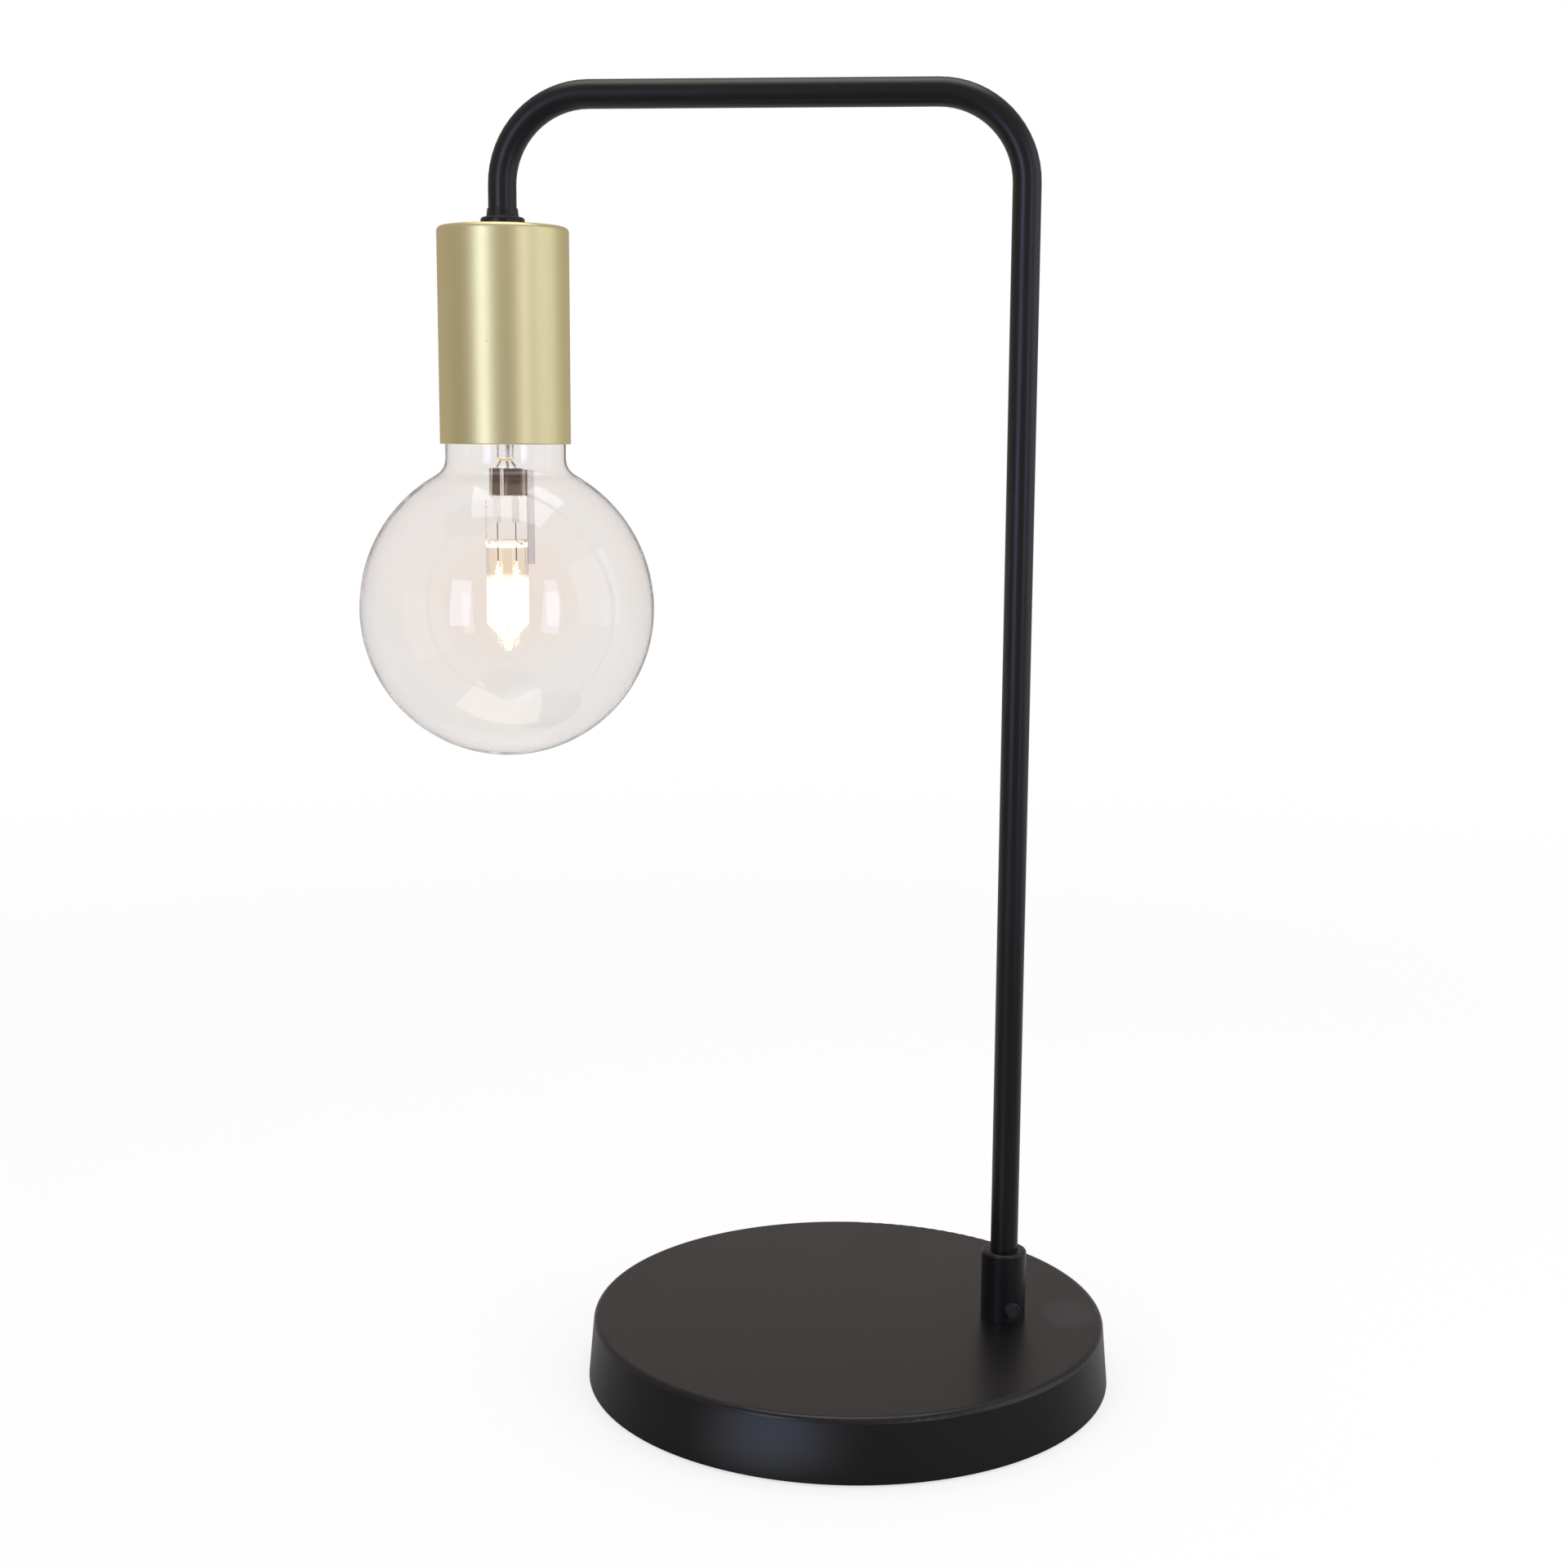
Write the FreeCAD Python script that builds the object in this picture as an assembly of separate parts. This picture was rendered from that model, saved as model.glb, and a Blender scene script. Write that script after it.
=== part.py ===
"""Bare bulb table lamp: a round weighted base, one bent tube, and a clear globe bulb in a plain cup.

Millimetres, +Z up. The origin is the centre of the base, on the table. The pole, the arm and the
bulb lie in the XZ plane: the pole stands towards +X and the bulb hangs towards -X. Screw threads
of the stand are plain cylinders; the bulb's round thread is a real helix.
"""
import FreeCAD
import Part

import math
import os

from FreeCAD import Vector

# ---- stand: what stands on the table ----
POLE_INSET = 35.0  # pole axis in from the base's lower edge
ARM_REACH = 165.0  # pole axis to bulb axis
ARM_HEIGHT = 417.5  # centreline of the level arm above the table
BEND_R = 27.75  # centreline radius of both bends
TUBE_R = 4.5
TUBE_WALL = 1.0
TUBE_FIT = 0.03  # radial gap between the tube and the sockets it is brazed into

BASE_BOTTOM_R = 87.0
BASE_TAPER = 1.8  # the base's top is this much narrower all round
BASE_HEIGHT = 21.3
BASE_EDGE_R = 2.0
COVER_WALL = 1.5
PAD_THICKNESS = 3.0
PAD_PROUD = 0.8  # how far the pad lifts the cover off the table
SIDE_GAP = 0.7  # between the cover's wall and the weight and pad inside it

COLLAR_R = 7.4
COLLAR_HEIGHT = 23.2
COLLAR_EDGE_R = 1.0
COLLAR_SOCKET = 13.0  # how deep the tube sits in the collar
COLLAR_FLOOR = 1.9  # solid metal between the collar's foot and its cord chamber

# ---- M10 spigots, nut and washers ----
M10_R = 5.0
M10_FIT = 0.15  # radial gap of the clearance holes for M10
FOOT_POCKET_R = 11.0
FOOT_POCKET_DEPTH = 9.3  # pocket in the underside of the weight
SPIGOT_SHORT = 1.6  # how far the foot spigot stays above the pad
FLAT_WASHER_R = 10.0
FLAT_WASHER_T = 1.2
SPRING_WASHER_R = 8.2
SPRING_WASHER_T = 1.2
SPRING_WASHER_SLIT = 1.0
NUT_FLATS = 14.0
NUT_T = 3.5

# ---- cord outlet and inner flex ----
OUTLET_HEIGHT = 4.7  # above the top of the base
OUTLET_ANGLE = -69.0  # degrees from +X, seen from above
FLEX_R = 1.9
FLEX_FIT = 0.05  # radial gap between the flex and the sleeve
SLEEVE_WALL = 0.45
SLEEVE_FIT = 0.05
SLEEVE_PROUD = 2.5  # beyond the collar's side
SLEEVE_EDGE = 0.15
FLEX_RECESS = 0.4  # the flex ends this far inside the sleeve's mouth
FLEX_TURN_R = 4.0  # bend of the flex inside the collar
FLEX_END = 2.0  # the sheath ends this far up inside the ferrule's spigot

# ---- ferrule and cup ----
HEAD_DROP = 40.5  # arm centreline to the top of the cup
FERRULE_R = 7.0
FERRULE_HEIGHT = 5.7
FERRULE_BEAD = 3.0
FERRULE_FOOT_R = 0.75  # rounding of the bead's lower edge
FERRULE_BEAD_R = 1.0  # rounding of its upper edge
FERRULE_NECK_R = 0.6  # fillet between the bead and the neck
FERRULE_LIP = 0.3  # flat lip round the tube at the ferrule's mouth
FERRULE_NECK_TAPER = 0.36
FERRULE_SEAT = 1.5  # the tube's end sits this far above the cup
HEAD_SPIGOT = 10.5
CUP_R = 20.9
CUP_HEIGHT = 68.0
CUP_WALL = 1.0
CUP_EDGE_R = 1.6
CUP_LIP_R = 0.33  # rounding of both edges of the cup's rim

# ---- lampholder for a 27 mm screw cap ----
TOOTHED_WASHER_R = 8.5
TOOTHED_WASHER_T = 0.8
WASHER_TEETH = 12
HOLDER_R = 18.6
HOLDER_WALL = 1.8
HOLDER_HEIGHT = 53.2
HOLDER_CAP_HEIGHT = 24.2
HOLDER_CONE = 11.2
HOLDER_BOSS_R = 9.5
HOLDER_BOSS_DEPTH = 9.0
HOLDER_FIT = 0.1
SKIRT_TAPER = 1.6  # the skirt is slimmer than the cap by this much
SKIRT_OVERLAP = 4.0  # the skirt's neck goes this far up into the cap
SKIRT_NECK_WALL = 1.5
SKIRT_MOUTH_R = 0.5  # rounding of the rim's inner edge
SKIRT_RIM_R = 0.8  # rounding of its outer edge
INSERT_DROP = 3.0  # underside of the insert below the cap's lower edge
INSERT_T = 7.0
SHELL_GAP = 0.3  # between the screw shell and the skirt
SHELL_R = 14.1
SHELL_PLATE_T = 0.5
SHELL_OPENING_R = 8.0
SHELL_RECESS = 2.5  # the screw shell ends this far above the skirt's rim

STRIP_T = 0.4  # contact strip
STRIP_WIDTH = 4.0
STRIP_FIT = 0.05
CONTACT_LEG_X = 7.2  # leg of the centre contact from the bulb's axis
STRAP_LEG_X = 11.2  # leg of the screw shell's strap from the bulb's axis
STRAP_FOOT_IN = 2.0  # how far the strap's foot reaches from its leg towards the bulb's axis
STRAP_FOOT_OUT = 1.6  # and away from it
TONGUE_DROP = 1.45
TONGUE_REACH = 1.0  # past the bulb's axis
RIVET_Y = 10.0
RIVET_R = 1.0
RIVET_HEAD_R = 1.8
RIVET_HEAD_T = 0.5
TERMINAL_X = 9.5
TERMINAL_SIZE = 5.0
TERMINAL_SCREW_R = 1.25
TERMINAL_SCREW_PROUD = 0.8
SCREW_FIT = 0.05
SCREW_SLOT = 0.5
CORE_R = 0.75
CORE_SPREAD = 0.85  # each core leaves the flex this far from its middle
CORE_TURN_R = 1.6
CONDUCTOR_R = 0.45
CONDUCTOR_FIT = 0.08
CONDUCTOR_DEPTH = 4.0

# ---- round thread of the screw cap ----
THREAD_PITCH = 3.629
THREAD_CORE_R = 12.1
THREAD_CREST_R = 13.1
THREAD_HALF_WIDTH = 1.35
THREAD_GAP = 0.3  # between cap thread and holder thread, all round
THREAD_TURNS = 3.4
THREAD_START = 4.7  # above the rim of the bulb's cap
THREAD_RUN_OUT = 0.5  # turns that the holder's groove runs past the bulb's thread

# ---- bulb ----
BULB_LENGTH = 138.0
CONTACT_GAP = 0.05  # between the bulb's tip and the centre contact
GLOBE_R = 47.5
GLOBE_UPPER_R = 49.5  # the upper half is a little fuller than a sphere
GLASS_WALL = 0.8
NECK_R = 19.3
NECK_FILLET_R = 6.0
NECK_SHOULDER_R = 5.0
NECK_TUBE_R = 11.3
NECK_TUBE_IN_CAP = 5.5
NECK_BELOW_CAP = 3.5  # straight neck tube below the cap's rim
CAP_LENGTH = 26.0
CAP_SHEET = 0.35
CAP_RIM_R = 13.0
CAP_RIM_T = 1.6
CAP_BARREL = 18.6
CAP_SHOULDER_R = 1.2
CAP_TOP = 21.4
CAP_MOUTH_R = 8.9
CEMENT_FIT = 0.05
INSULATOR_TOP = 24.3
INSULATOR_TOP_R = 5.3
INSULATOR_FLANGE_R = 9.4
INSULATOR_FLANGE_Z = 19.0
INSULATOR_FLANGE_T = 1.0
INSULATOR_FIT = 0.15
INSULATOR_HOLE_R = 0.7
CONTACT_R = 4.8
CONTACT_RIM_T = 0.6

STEM_END_R = 2.9
STEM_LENGTH = 21.4  # from the flare to the stem's end
STEM_FLARE_T = 0.9
STEM_FLARE_HEIGHT = 4.5
STEM_NECK_R = 4.35  # at the foot of the flare
WIRE_R = 0.35
WIRE_FIT = 0.03
STEM_WIRE_X = 1.9  # lead wires in the stem, from the bulb's axis
TIP_WIRE_DROP = 1.05  # below the insulator, where the tip's wire turns
WIRE_SPREAD_RISE = 2.7  # above the flare, where both wires turn inwards
LEG_X = 3.0  # pins, foils and filament legs, from the bulb's axis
SUPPORT_R = 0.45
SUPPORT_STEM_Y = 1.9
SUPPORT_IN_STEM = 11.0

# ---- halogen capsule, heights measured up from the tip of the globe ----
CAPSULE_TOP = 91.6
CAPSULE_R = 6.8
CAPSULE_WALL = 1.0
CAPSULE_SHOULDER = 70.0
CAPSULE_DOME = 42.8
CAPSULE_DOME_HEIGHT = 4.7
CAPSULE_TIP = 33.9
CAPSULE_TIP_R = 1.5
PINCH_HALF_Y = 1.9
PINCH_SHOULDER = 83.0  # above this height the pinch is slim enough for its clip
PINCH_SHOULDER_R = 1.6
PINCH_SLIM_X = 4.8  # half its width there
PINCH_EDGE_R = 0.4
FOIL_TOP = 83.9
FOIL_LENGTH = 8.4
FOIL_WIDTH = 2.4
FOIL_T = 0.1
CLIP_BOTTOM = 84.1
CLIP_HEIGHT = 8.4
CLIP_SHEET = 0.4
CLIP_FIT = 0.05
CLIP_LEG_WIDTH = 2.3
CLIP_LEG_LENGTH = 22.0
CLIP_LUG = 4.6

FILAMENT_TOP = 60.8
FILAMENT_TURNS = 11
FILAMENT_PITCH = 1.5
FILAMENT_COIL_R = 0.95
FILAMENT_WIRE_R = 0.2
FILAMENT_RUN = 1.2  # height in which a straight leg turns into the coil
POST_R = 0.15
TINY = 1e-9  # a length or share that counts as nothing

# ---- heights and radii that follow ----
BASE_TOP_R = BASE_BOTTOM_R - BASE_TAPER
POLE_X = BASE_BOTTOM_R - POLE_INSET
HEAD_X = POLE_X - ARM_REACH
TUBE_BORE_R = TUBE_R - TUBE_WALL
SLEEVE_BORE_R = FLEX_R + FLEX_FIT
SLEEVE_R = SLEEVE_BORE_R + SLEEVE_WALL
COLLAR_TOP_Z = BASE_HEIGHT + COLLAR_HEIGHT
COLLAR_SEAT_Z = COLLAR_TOP_Z - COLLAR_SOCKET
OUTLET_Z = BASE_HEIGHT + OUTLET_HEIGHT
CUP_TOP_Z = ARM_HEIGHT - HEAD_DROP
FERRULE_SEAT_Z = CUP_TOP_Z + FERRULE_SEAT
HOLDER_TOP_Z = CUP_TOP_Z - CUP_WALL - TOOTHED_WASHER_T
HOLDER_RIM_Z = HOLDER_TOP_Z - HOLDER_HEIGHT
CAP_EDGE_Z = HOLDER_TOP_Z - HOLDER_CAP_HEIGHT
INSERT_Z = CAP_EDGE_Z - INSERT_DROP
INSERT_TOP_Z = INSERT_Z + INSERT_T
TERMINAL_Z = INSERT_TOP_Z + STRIP_T
TERMINAL_TOP_Z = TERMINAL_Z + TERMINAL_SIZE
SKIRT_INNER_R = SHELL_R + SHELL_GAP
INSERT_R = HOLDER_R - HOLDER_WALL - SKIRT_NECK_WALL - 2 * HOLDER_FIT
FLEX_END_Z = CUP_TOP_Z - HEAD_SPIGOT + FLEX_END
BULB_TOP_Z = INSERT_Z - TONGUE_DROP - CONTACT_GAP
BULB_TIP_Z = BULB_TOP_Z - BULB_LENGTH
GLOBE_Z = BULB_TIP_Z + GLOBE_R
RIM_Z = BULB_TOP_Z - CAP_LENGTH
STEM_FLARE_Z = RIM_Z + NECK_TUBE_IN_CAP - STEM_FLARE_T
STEM_END_Z = STEM_FLARE_Z - STEM_LENGTH


# ---- helpers ----
def unit(vector):
    """The direction of a vector."""
    return vector / vector.Length


def corner_arc(corner, before, after, radius):
    """Start, middle and end of the arc that rounds a corner."""
    back = unit(before - corner)
    on = unit(after - corner)
    half = back.getAngle(on) / 2
    reach = radius / math.tan(half)
    bisector = unit(back + on)
    centre = corner + bisector * (radius / math.sin(half))
    return corner + back * reach, centre - bisector * radius, corner + on * reach


def rounded_wire(corners, closed=False):
    """A wire of lines and tangent arcs. Each corner is (point, radius)."""
    count = len(corners)
    edges = []
    previous_end = None
    first_start = None
    for index, (corner, radius) in enumerate(corners):
        is_end = not closed and index in (0, count - 1)
        if radius and not is_end:
            before = corners[index - 1][0]
            after = corners[(index + 1) % count][0]
            start, middle, end = corner_arc(corner, before, after, radius)
        else:
            start, middle, end = corner, None, corner
        if previous_end is not None and (start - previous_end).Length > 1e-6:
            edges.append(Part.LineSegment(previous_end, start).toShape())
        if middle is not None:
            edges.append(Part.Arc(start, middle, end).toShape())
        if first_start is None:
            first_start = start
        previous_end = end
    if closed and (first_start - previous_end).Length > 1e-6:
        edges.append(Part.LineSegment(previous_end, first_start).toShape())
    return Part.Wire(edges)


def turned(outline, axis_x):
    """A solid of revolution about the vertical at axis_x. Outline points are (r, z) or (r, z, fillet)."""
    corners = [(Vector(axis_x + p[0], 0, p[1]), p[2] if len(p) > 2 else 0) for p in outline]
    return spin(rounded_wire(corners, closed=True), axis_x)


def spin(wire, axis_x):
    """The solid that a closed wire in the XZ plane sweeps about the vertical at axis_x."""
    return Part.Face(wire).revolve(Vector(axis_x, 0, 0), Vector(0, 0, 1), 360)


def rod(radius, low, high, x=0.0, y=0.0):
    """An upright cylinder."""
    return Part.makeCylinder(radius, high - low, Vector(x, y, low))


def ring(outer, inner, low, high, x):
    """An upright tube."""
    return rod(outer, low, high, x).cut(rod(inner, low, high, x))


def block(x_span, y_span, z_span):
    """A box from three (low, high) spans."""
    size = [high - low for low, high in (x_span, y_span, z_span)]
    return Part.makeBox(*size, Vector(x_span[0], y_span[0], z_span[0]))


def pipe(path, radius):
    """A round bar along a wire that starts with a straight run."""
    first = path.OrderedEdges[0]
    start = first.valueAt(first.FirstParameter)
    circle = Part.Circle(start, first.tangentAt(first.FirstParameter), radius)
    return path.makePipeShell([Part.Wire([circle.toShape()])], True, False)


def strip(points, width, axis_x):
    """A bent metal strip: a closed outline of (x, z) points, width wide in Y."""
    corners = [Vector(axis_x + x, -width / 2, z) for x, z in points]
    face = Part.Face(Part.makePolygon(corners + corners[:1]))
    return face.extrude(Vector(0, width, 0))


def arc_edge(centre_r, centre_z, radius, start, end, axis_x):
    """An arc in the XZ plane, from angle start to angle end in degrees from +X."""
    points = []
    for angle in (start, (start + end) / 2, end):
        turn = math.radians(angle)
        points.append(
            Vector(axis_x + centre_r + radius * math.cos(turn), 0, centre_z + radius * math.sin(turn))
        )
    return Part.Arc(*points).toShape()


def report_tube(name, solid, path, radius):
    """Prints a tube's volume beside its section times its length."""
    expected = math.pi * radius**2 * path.Length
    print(f"{name}: volume {solid.Volume:.1f}, section times length {expected:.1f}")


# ---- base ----
def cover_outline(inset):
    """The cover's section, its outer face moved inward by inset: (r, z) or (r, z, fillet) points."""
    slope = (BASE_BOTTOM_R - BASE_TOP_R) / (BASE_HEIGHT - PAD_PROUD)
    shift = inset * math.hypot(1, slope)
    top_z = BASE_HEIGHT - inset
    top_r = BASE_TOP_R - shift + slope * inset
    bottom_r = BASE_BOTTOM_R - shift
    edge_r = max(BASE_EDGE_R - inset, 0)
    return [(0, PAD_PROUD), (bottom_r, PAD_PROUD), (top_r, top_z, edge_r), (0, top_z)]


def cover_radius(inset, z):
    """The radius of the cover's side at a height, its outer face moved inward by inset."""
    (_, _), (bottom_r, bottom_z), (top_r, top_z, _), (_, _) = cover_outline(inset)
    return bottom_r + (top_r - bottom_r) * (z - bottom_z) / (top_z - bottom_z)


def base_cover():
    outer = turned(cover_outline(0), 0)
    inner = turned(cover_outline(COVER_WALL), 0)
    hole = rod(M10_R + M10_FIT, 0, BASE_HEIGHT, POLE_X)
    return outer.cut(inner).cut(hole)


def base_weight():
    top_z = BASE_HEIGHT - COVER_WALL
    inset = COVER_WALL + SIDE_GAP
    outline = [
        (0, PAD_THICKNESS),
        (cover_radius(inset, PAD_THICKNESS), PAD_THICKNESS),
        (cover_radius(inset, top_z), top_z, BASE_EDGE_R),
        (0, top_z),
    ]
    pocket = rod(FOOT_POCKET_R, PAD_THICKNESS, PAD_THICKNESS + FOOT_POCKET_DEPTH, POLE_X)
    hole = rod(M10_R + M10_FIT, PAD_THICKNESS, top_z, POLE_X)
    return turned(outline, 0).cut(pocket).cut(hole)


def base_pad():
    return rod(cover_radius(COVER_WALL + SIDE_GAP, PAD_PROUD), 0, PAD_THICKNESS)


# ---- foot of the pole ----
def foot_stack_z():
    """Heights of the faces between pocket ceiling, flat washer, spring washer and nut, from the top."""
    ceiling = PAD_THICKNESS + FOOT_POCKET_DEPTH
    below_flat = ceiling - FLAT_WASHER_T
    below_spring = below_flat - SPRING_WASHER_T
    return ceiling, below_flat, below_spring, below_spring - NUT_T


def foot_washer():
    high, low, _, _ = foot_stack_z()
    return ring(FLAT_WASHER_R, M10_R + M10_FIT, low, high, POLE_X)


def foot_lock_washer():
    _, high, low, _ = foot_stack_z()
    half_slit = SPRING_WASHER_SLIT / 2
    slit = block((POLE_X, POLE_X + FLAT_WASHER_R), (-half_slit, half_slit), (low, high))
    return ring(SPRING_WASHER_R, M10_R + M10_FIT, low, high, POLE_X).cut(slit)


def foot_nut():
    _, _, high, low = foot_stack_z()
    corner_r = NUT_FLATS / math.sqrt(3)
    corners = []
    for index in range(6):
        turn = math.radians(60 * index)
        corners.append(Vector(POLE_X + corner_r * math.cos(turn), corner_r * math.sin(turn), low))
    body = Part.Face(Part.makePolygon(corners + corners[:1])).extrude(Vector(0, 0, high - low))
    return body.cut(rod(M10_R, low, high, POLE_X))


def outlet_direction():
    turn = math.radians(OUTLET_ANGLE)
    return Vector(math.cos(turn), math.sin(turn), 0)


def outlet_rod(radius, start, end):
    """A level cylinder on the outlet's axis, between two distances from the pole's axis."""
    direction = outlet_direction()
    foot = Vector(POLE_X, 0, OUTLET_Z) + direction * start
    return Part.makeCylinder(radius, end - start, foot, direction)


def pole_collar():
    socket_r = TUBE_R + TUBE_FIT
    floor_z = BASE_HEIGHT + COLLAR_FLOOR
    spigot_z = PAD_THICKNESS + SPIGOT_SHORT
    outline = [
        (0, spigot_z),
        (M10_R, spigot_z),
        (M10_R, BASE_HEIGHT),
        (COLLAR_R, BASE_HEIGHT),
        (COLLAR_R, COLLAR_TOP_Z, COLLAR_EDGE_R),
        (socket_r, COLLAR_TOP_Z),
        (socket_r, COLLAR_SEAT_Z),
        (TUBE_BORE_R, COLLAR_SEAT_Z),
        (TUBE_BORE_R, floor_z),
        (0, floor_z),
    ]
    return turned(outline, POLE_X).cut(outlet_rod(SLEEVE_R + SLEEVE_FIT, 0, COLLAR_R * 2))


def cord_sleeve():
    inner_end = TUBE_BORE_R
    outer_end = COLLAR_R + SLEEVE_PROUD
    tube = outlet_rod(SLEEVE_R, inner_end, outer_end)
    mouth = [edge for edge in tube.Edges if edge.Curve.TypeId == "Part::GeomCircle"]
    tube = tube.makeFillet(SLEEVE_EDGE, mouth)
    return tube.cut(outlet_rod(SLEEVE_BORE_R, 0, COLLAR_R * 2))


def arm_corners(low_z, end_z):
    """The tube's centreline from a height on the pole to a height above the cup."""
    return [
        (Vector(POLE_X, 0, low_z), 0),
        (Vector(POLE_X, 0, ARM_HEIGHT), BEND_R),
        (Vector(HEAD_X, 0, ARM_HEIGHT), BEND_R),
        (Vector(HEAD_X, 0, end_z), 0),
    ]


def arm_tube():
    path = rounded_wire(arm_corners(COLLAR_SEAT_Z, FERRULE_SEAT_Z))
    outside = pipe(path, TUBE_R)
    report_tube("arm_tube outside", outside, path, TUBE_R)
    return outside.cut(pipe(path, TUBE_BORE_R))


def inner_flex():
    start = outlet_direction() * (COLLAR_R + SLEEVE_PROUD - FLEX_RECESS)
    mouth = (Vector(POLE_X, 0, OUTLET_Z) + start, 0)
    turn = (Vector(POLE_X, 0, OUTLET_Z), FLEX_TURN_R)
    path = rounded_wire([mouth, turn] + arm_corners(0, FLEX_END_Z)[1:])
    solid = pipe(path, FLEX_R)
    report_tube("inner_flex", solid, path, FLEX_R)
    print(f"inner_flex: radii {FLEX_TURN_R} and {BEND_R}")
    return solid


# ---- ferrule, cup and lampholder ----
def tube_ferrule():
    socket_r = TUBE_R + TUBE_FIT
    top_z = CUP_TOP_Z + FERRULE_HEIGHT
    bead_z = CUP_TOP_Z + FERRULE_BEAD
    lip_r = socket_r + FERRULE_LIP
    outline = [
        (TUBE_BORE_R, CUP_TOP_Z - HEAD_SPIGOT),
        (M10_R, CUP_TOP_Z - HEAD_SPIGOT),
        (M10_R, CUP_TOP_Z),
        (FERRULE_R, CUP_TOP_Z, FERRULE_FOOT_R),
        (FERRULE_R, bead_z, FERRULE_BEAD_R),
        (lip_r + FERRULE_NECK_TAPER, bead_z, FERRULE_NECK_R),
        (lip_r, top_z),
        (socket_r, top_z),
        (socket_r, FERRULE_SEAT_Z),
        (TUBE_BORE_R, FERRULE_SEAT_Z),
    ]
    return turned(outline, HEAD_X)


def socket_cup():
    bottom_z = CUP_TOP_Z - CUP_HEIGHT
    inner_r = CUP_R - CUP_WALL
    inner_top = CUP_TOP_Z - CUP_WALL
    hole_r = M10_R + M10_FIT
    outline = [
        (hole_r, CUP_TOP_Z),
        (CUP_R, CUP_TOP_Z, CUP_EDGE_R),
        (CUP_R, bottom_z, CUP_LIP_R),
        (inner_r, bottom_z, CUP_LIP_R),
        (inner_r, inner_top, max(CUP_EDGE_R - CUP_WALL, CUP_LIP_R)),
        (hole_r, inner_top),
    ]
    return turned(outline, HEAD_X)


def holder_lock_washer():
    high = CUP_TOP_Z - CUP_WALL
    washer = ring(TOOTHED_WASHER_R, M10_R + M10_FIT, HOLDER_TOP_Z, high, HEAD_X)
    notch_r = math.pi * TOOTHED_WASHER_R / WASHER_TEETH / 3
    axis = Vector(HEAD_X, 0, 0)
    for index in range(WASHER_TEETH):
        notch = rod(notch_r, HOLDER_TOP_Z, high, HEAD_X + TOOTHED_WASHER_R)
        notch.rotate(axis, Vector(0, 0, 1), 360 * index / WASHER_TEETH)
        washer = washer.cut(notch)
    return washer


def holder_cap():
    bore_r = M10_R + HOLDER_FIT / 2
    inner_r = HOLDER_R - HOLDER_WALL
    cone_z = HOLDER_TOP_Z - HOLDER_CONE
    steep = HOLDER_CONE / (HOLDER_R - HOLDER_BOSS_R)
    inner_cone_z = HOLDER_TOP_Z - HOLDER_WALL * math.hypot(1, steep)
    boss_z = HOLDER_TOP_Z - HOLDER_BOSS_DEPTH
    outline = [
        (bore_r, HOLDER_TOP_Z),
        (HOLDER_BOSS_R, HOLDER_TOP_Z),
        (HOLDER_R, cone_z, HOLDER_WALL),
        (HOLDER_R, CAP_EDGE_Z),
        (inner_r, CAP_EDGE_Z),
        (inner_r, inner_cone_z - (inner_r - HOLDER_BOSS_R) * steep),
        (HOLDER_BOSS_R, inner_cone_z),
        (HOLDER_BOSS_R, boss_z),
        (bore_r, boss_z),
    ]
    return turned(outline, HEAD_X)


def holder_skirt():
    slim_r = HOLDER_R - SKIRT_TAPER
    neck_r = HOLDER_R - HOLDER_WALL - HOLDER_FIT
    neck_inner_r = neck_r - SKIRT_NECK_WALL
    neck_top = CAP_EDGE_Z + SKIRT_OVERLAP
    outline = [
        (SKIRT_INNER_R, HOLDER_RIM_Z, SKIRT_MOUTH_R),
        (slim_r, HOLDER_RIM_Z, SKIRT_RIM_R),
        (slim_r, INSERT_Z - SKIRT_TAPER),
        (HOLDER_R, INSERT_Z),
        (HOLDER_R, CAP_EDGE_Z),
        (neck_r, CAP_EDGE_Z),
        (neck_r, neck_top),
        (neck_inner_r, neck_top),
        (neck_inner_r, INSERT_Z),
        (SKIRT_INNER_R, INSERT_Z),
    ]
    return turned(outline, HEAD_X)


def centre_contact():
    inner = -CONTACT_LEG_X + STRIP_T / 2
    outer = -CONTACT_LEG_X - STRIP_T / 2
    touch_z = INSERT_Z - TONGUE_DROP
    outline = [
        (-TERMINAL_X - TERMINAL_SIZE / 2, INSERT_TOP_Z),
        (outer, INSERT_TOP_Z),
        (outer, INSERT_Z - STRIP_T),
        (0, touch_z),
        (TONGUE_REACH, touch_z + STRIP_T / 2),
        (TONGUE_REACH, touch_z + STRIP_T * 3 / 2),
        (0, touch_z + STRIP_T),
        (inner, INSERT_Z),
        (inner, INSERT_TOP_Z + STRIP_T),
        (-TERMINAL_X - TERMINAL_SIZE / 2, INSERT_TOP_Z + STRIP_T),
    ]
    return strip(outline, STRIP_WIDTH, HEAD_X)


def strap_foot_x():
    """The two ends of the strap's foot on the screw shell's plate, from the bulb's axis."""
    return STRAP_LEG_X - STRAP_FOOT_IN, STRAP_LEG_X + STRAP_FOOT_OUT


def shell_contact():
    inner = STRAP_LEG_X - STRIP_T / 2
    outer = STRAP_LEG_X + STRIP_T / 2
    foot_inner, foot_outer = strap_foot_x()
    tab_end = TERMINAL_X - TERMINAL_SIZE / 2
    outline = [
        (foot_inner, INSERT_Z),
        (foot_outer, INSERT_Z),
        (foot_outer, INSERT_Z + STRIP_T),
        (outer, INSERT_Z + STRIP_T),
        (outer, INSERT_TOP_Z + STRIP_T),
        (tab_end, INSERT_TOP_Z + STRIP_T),
        (tab_end, INSERT_TOP_Z),
        (inner, INSERT_TOP_Z),
        (inner, INSERT_Z + STRIP_T),
        (foot_inner, INSERT_Z + STRIP_T),
    ]
    return strip(outline, STRIP_WIDTH, HEAD_X)


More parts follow.
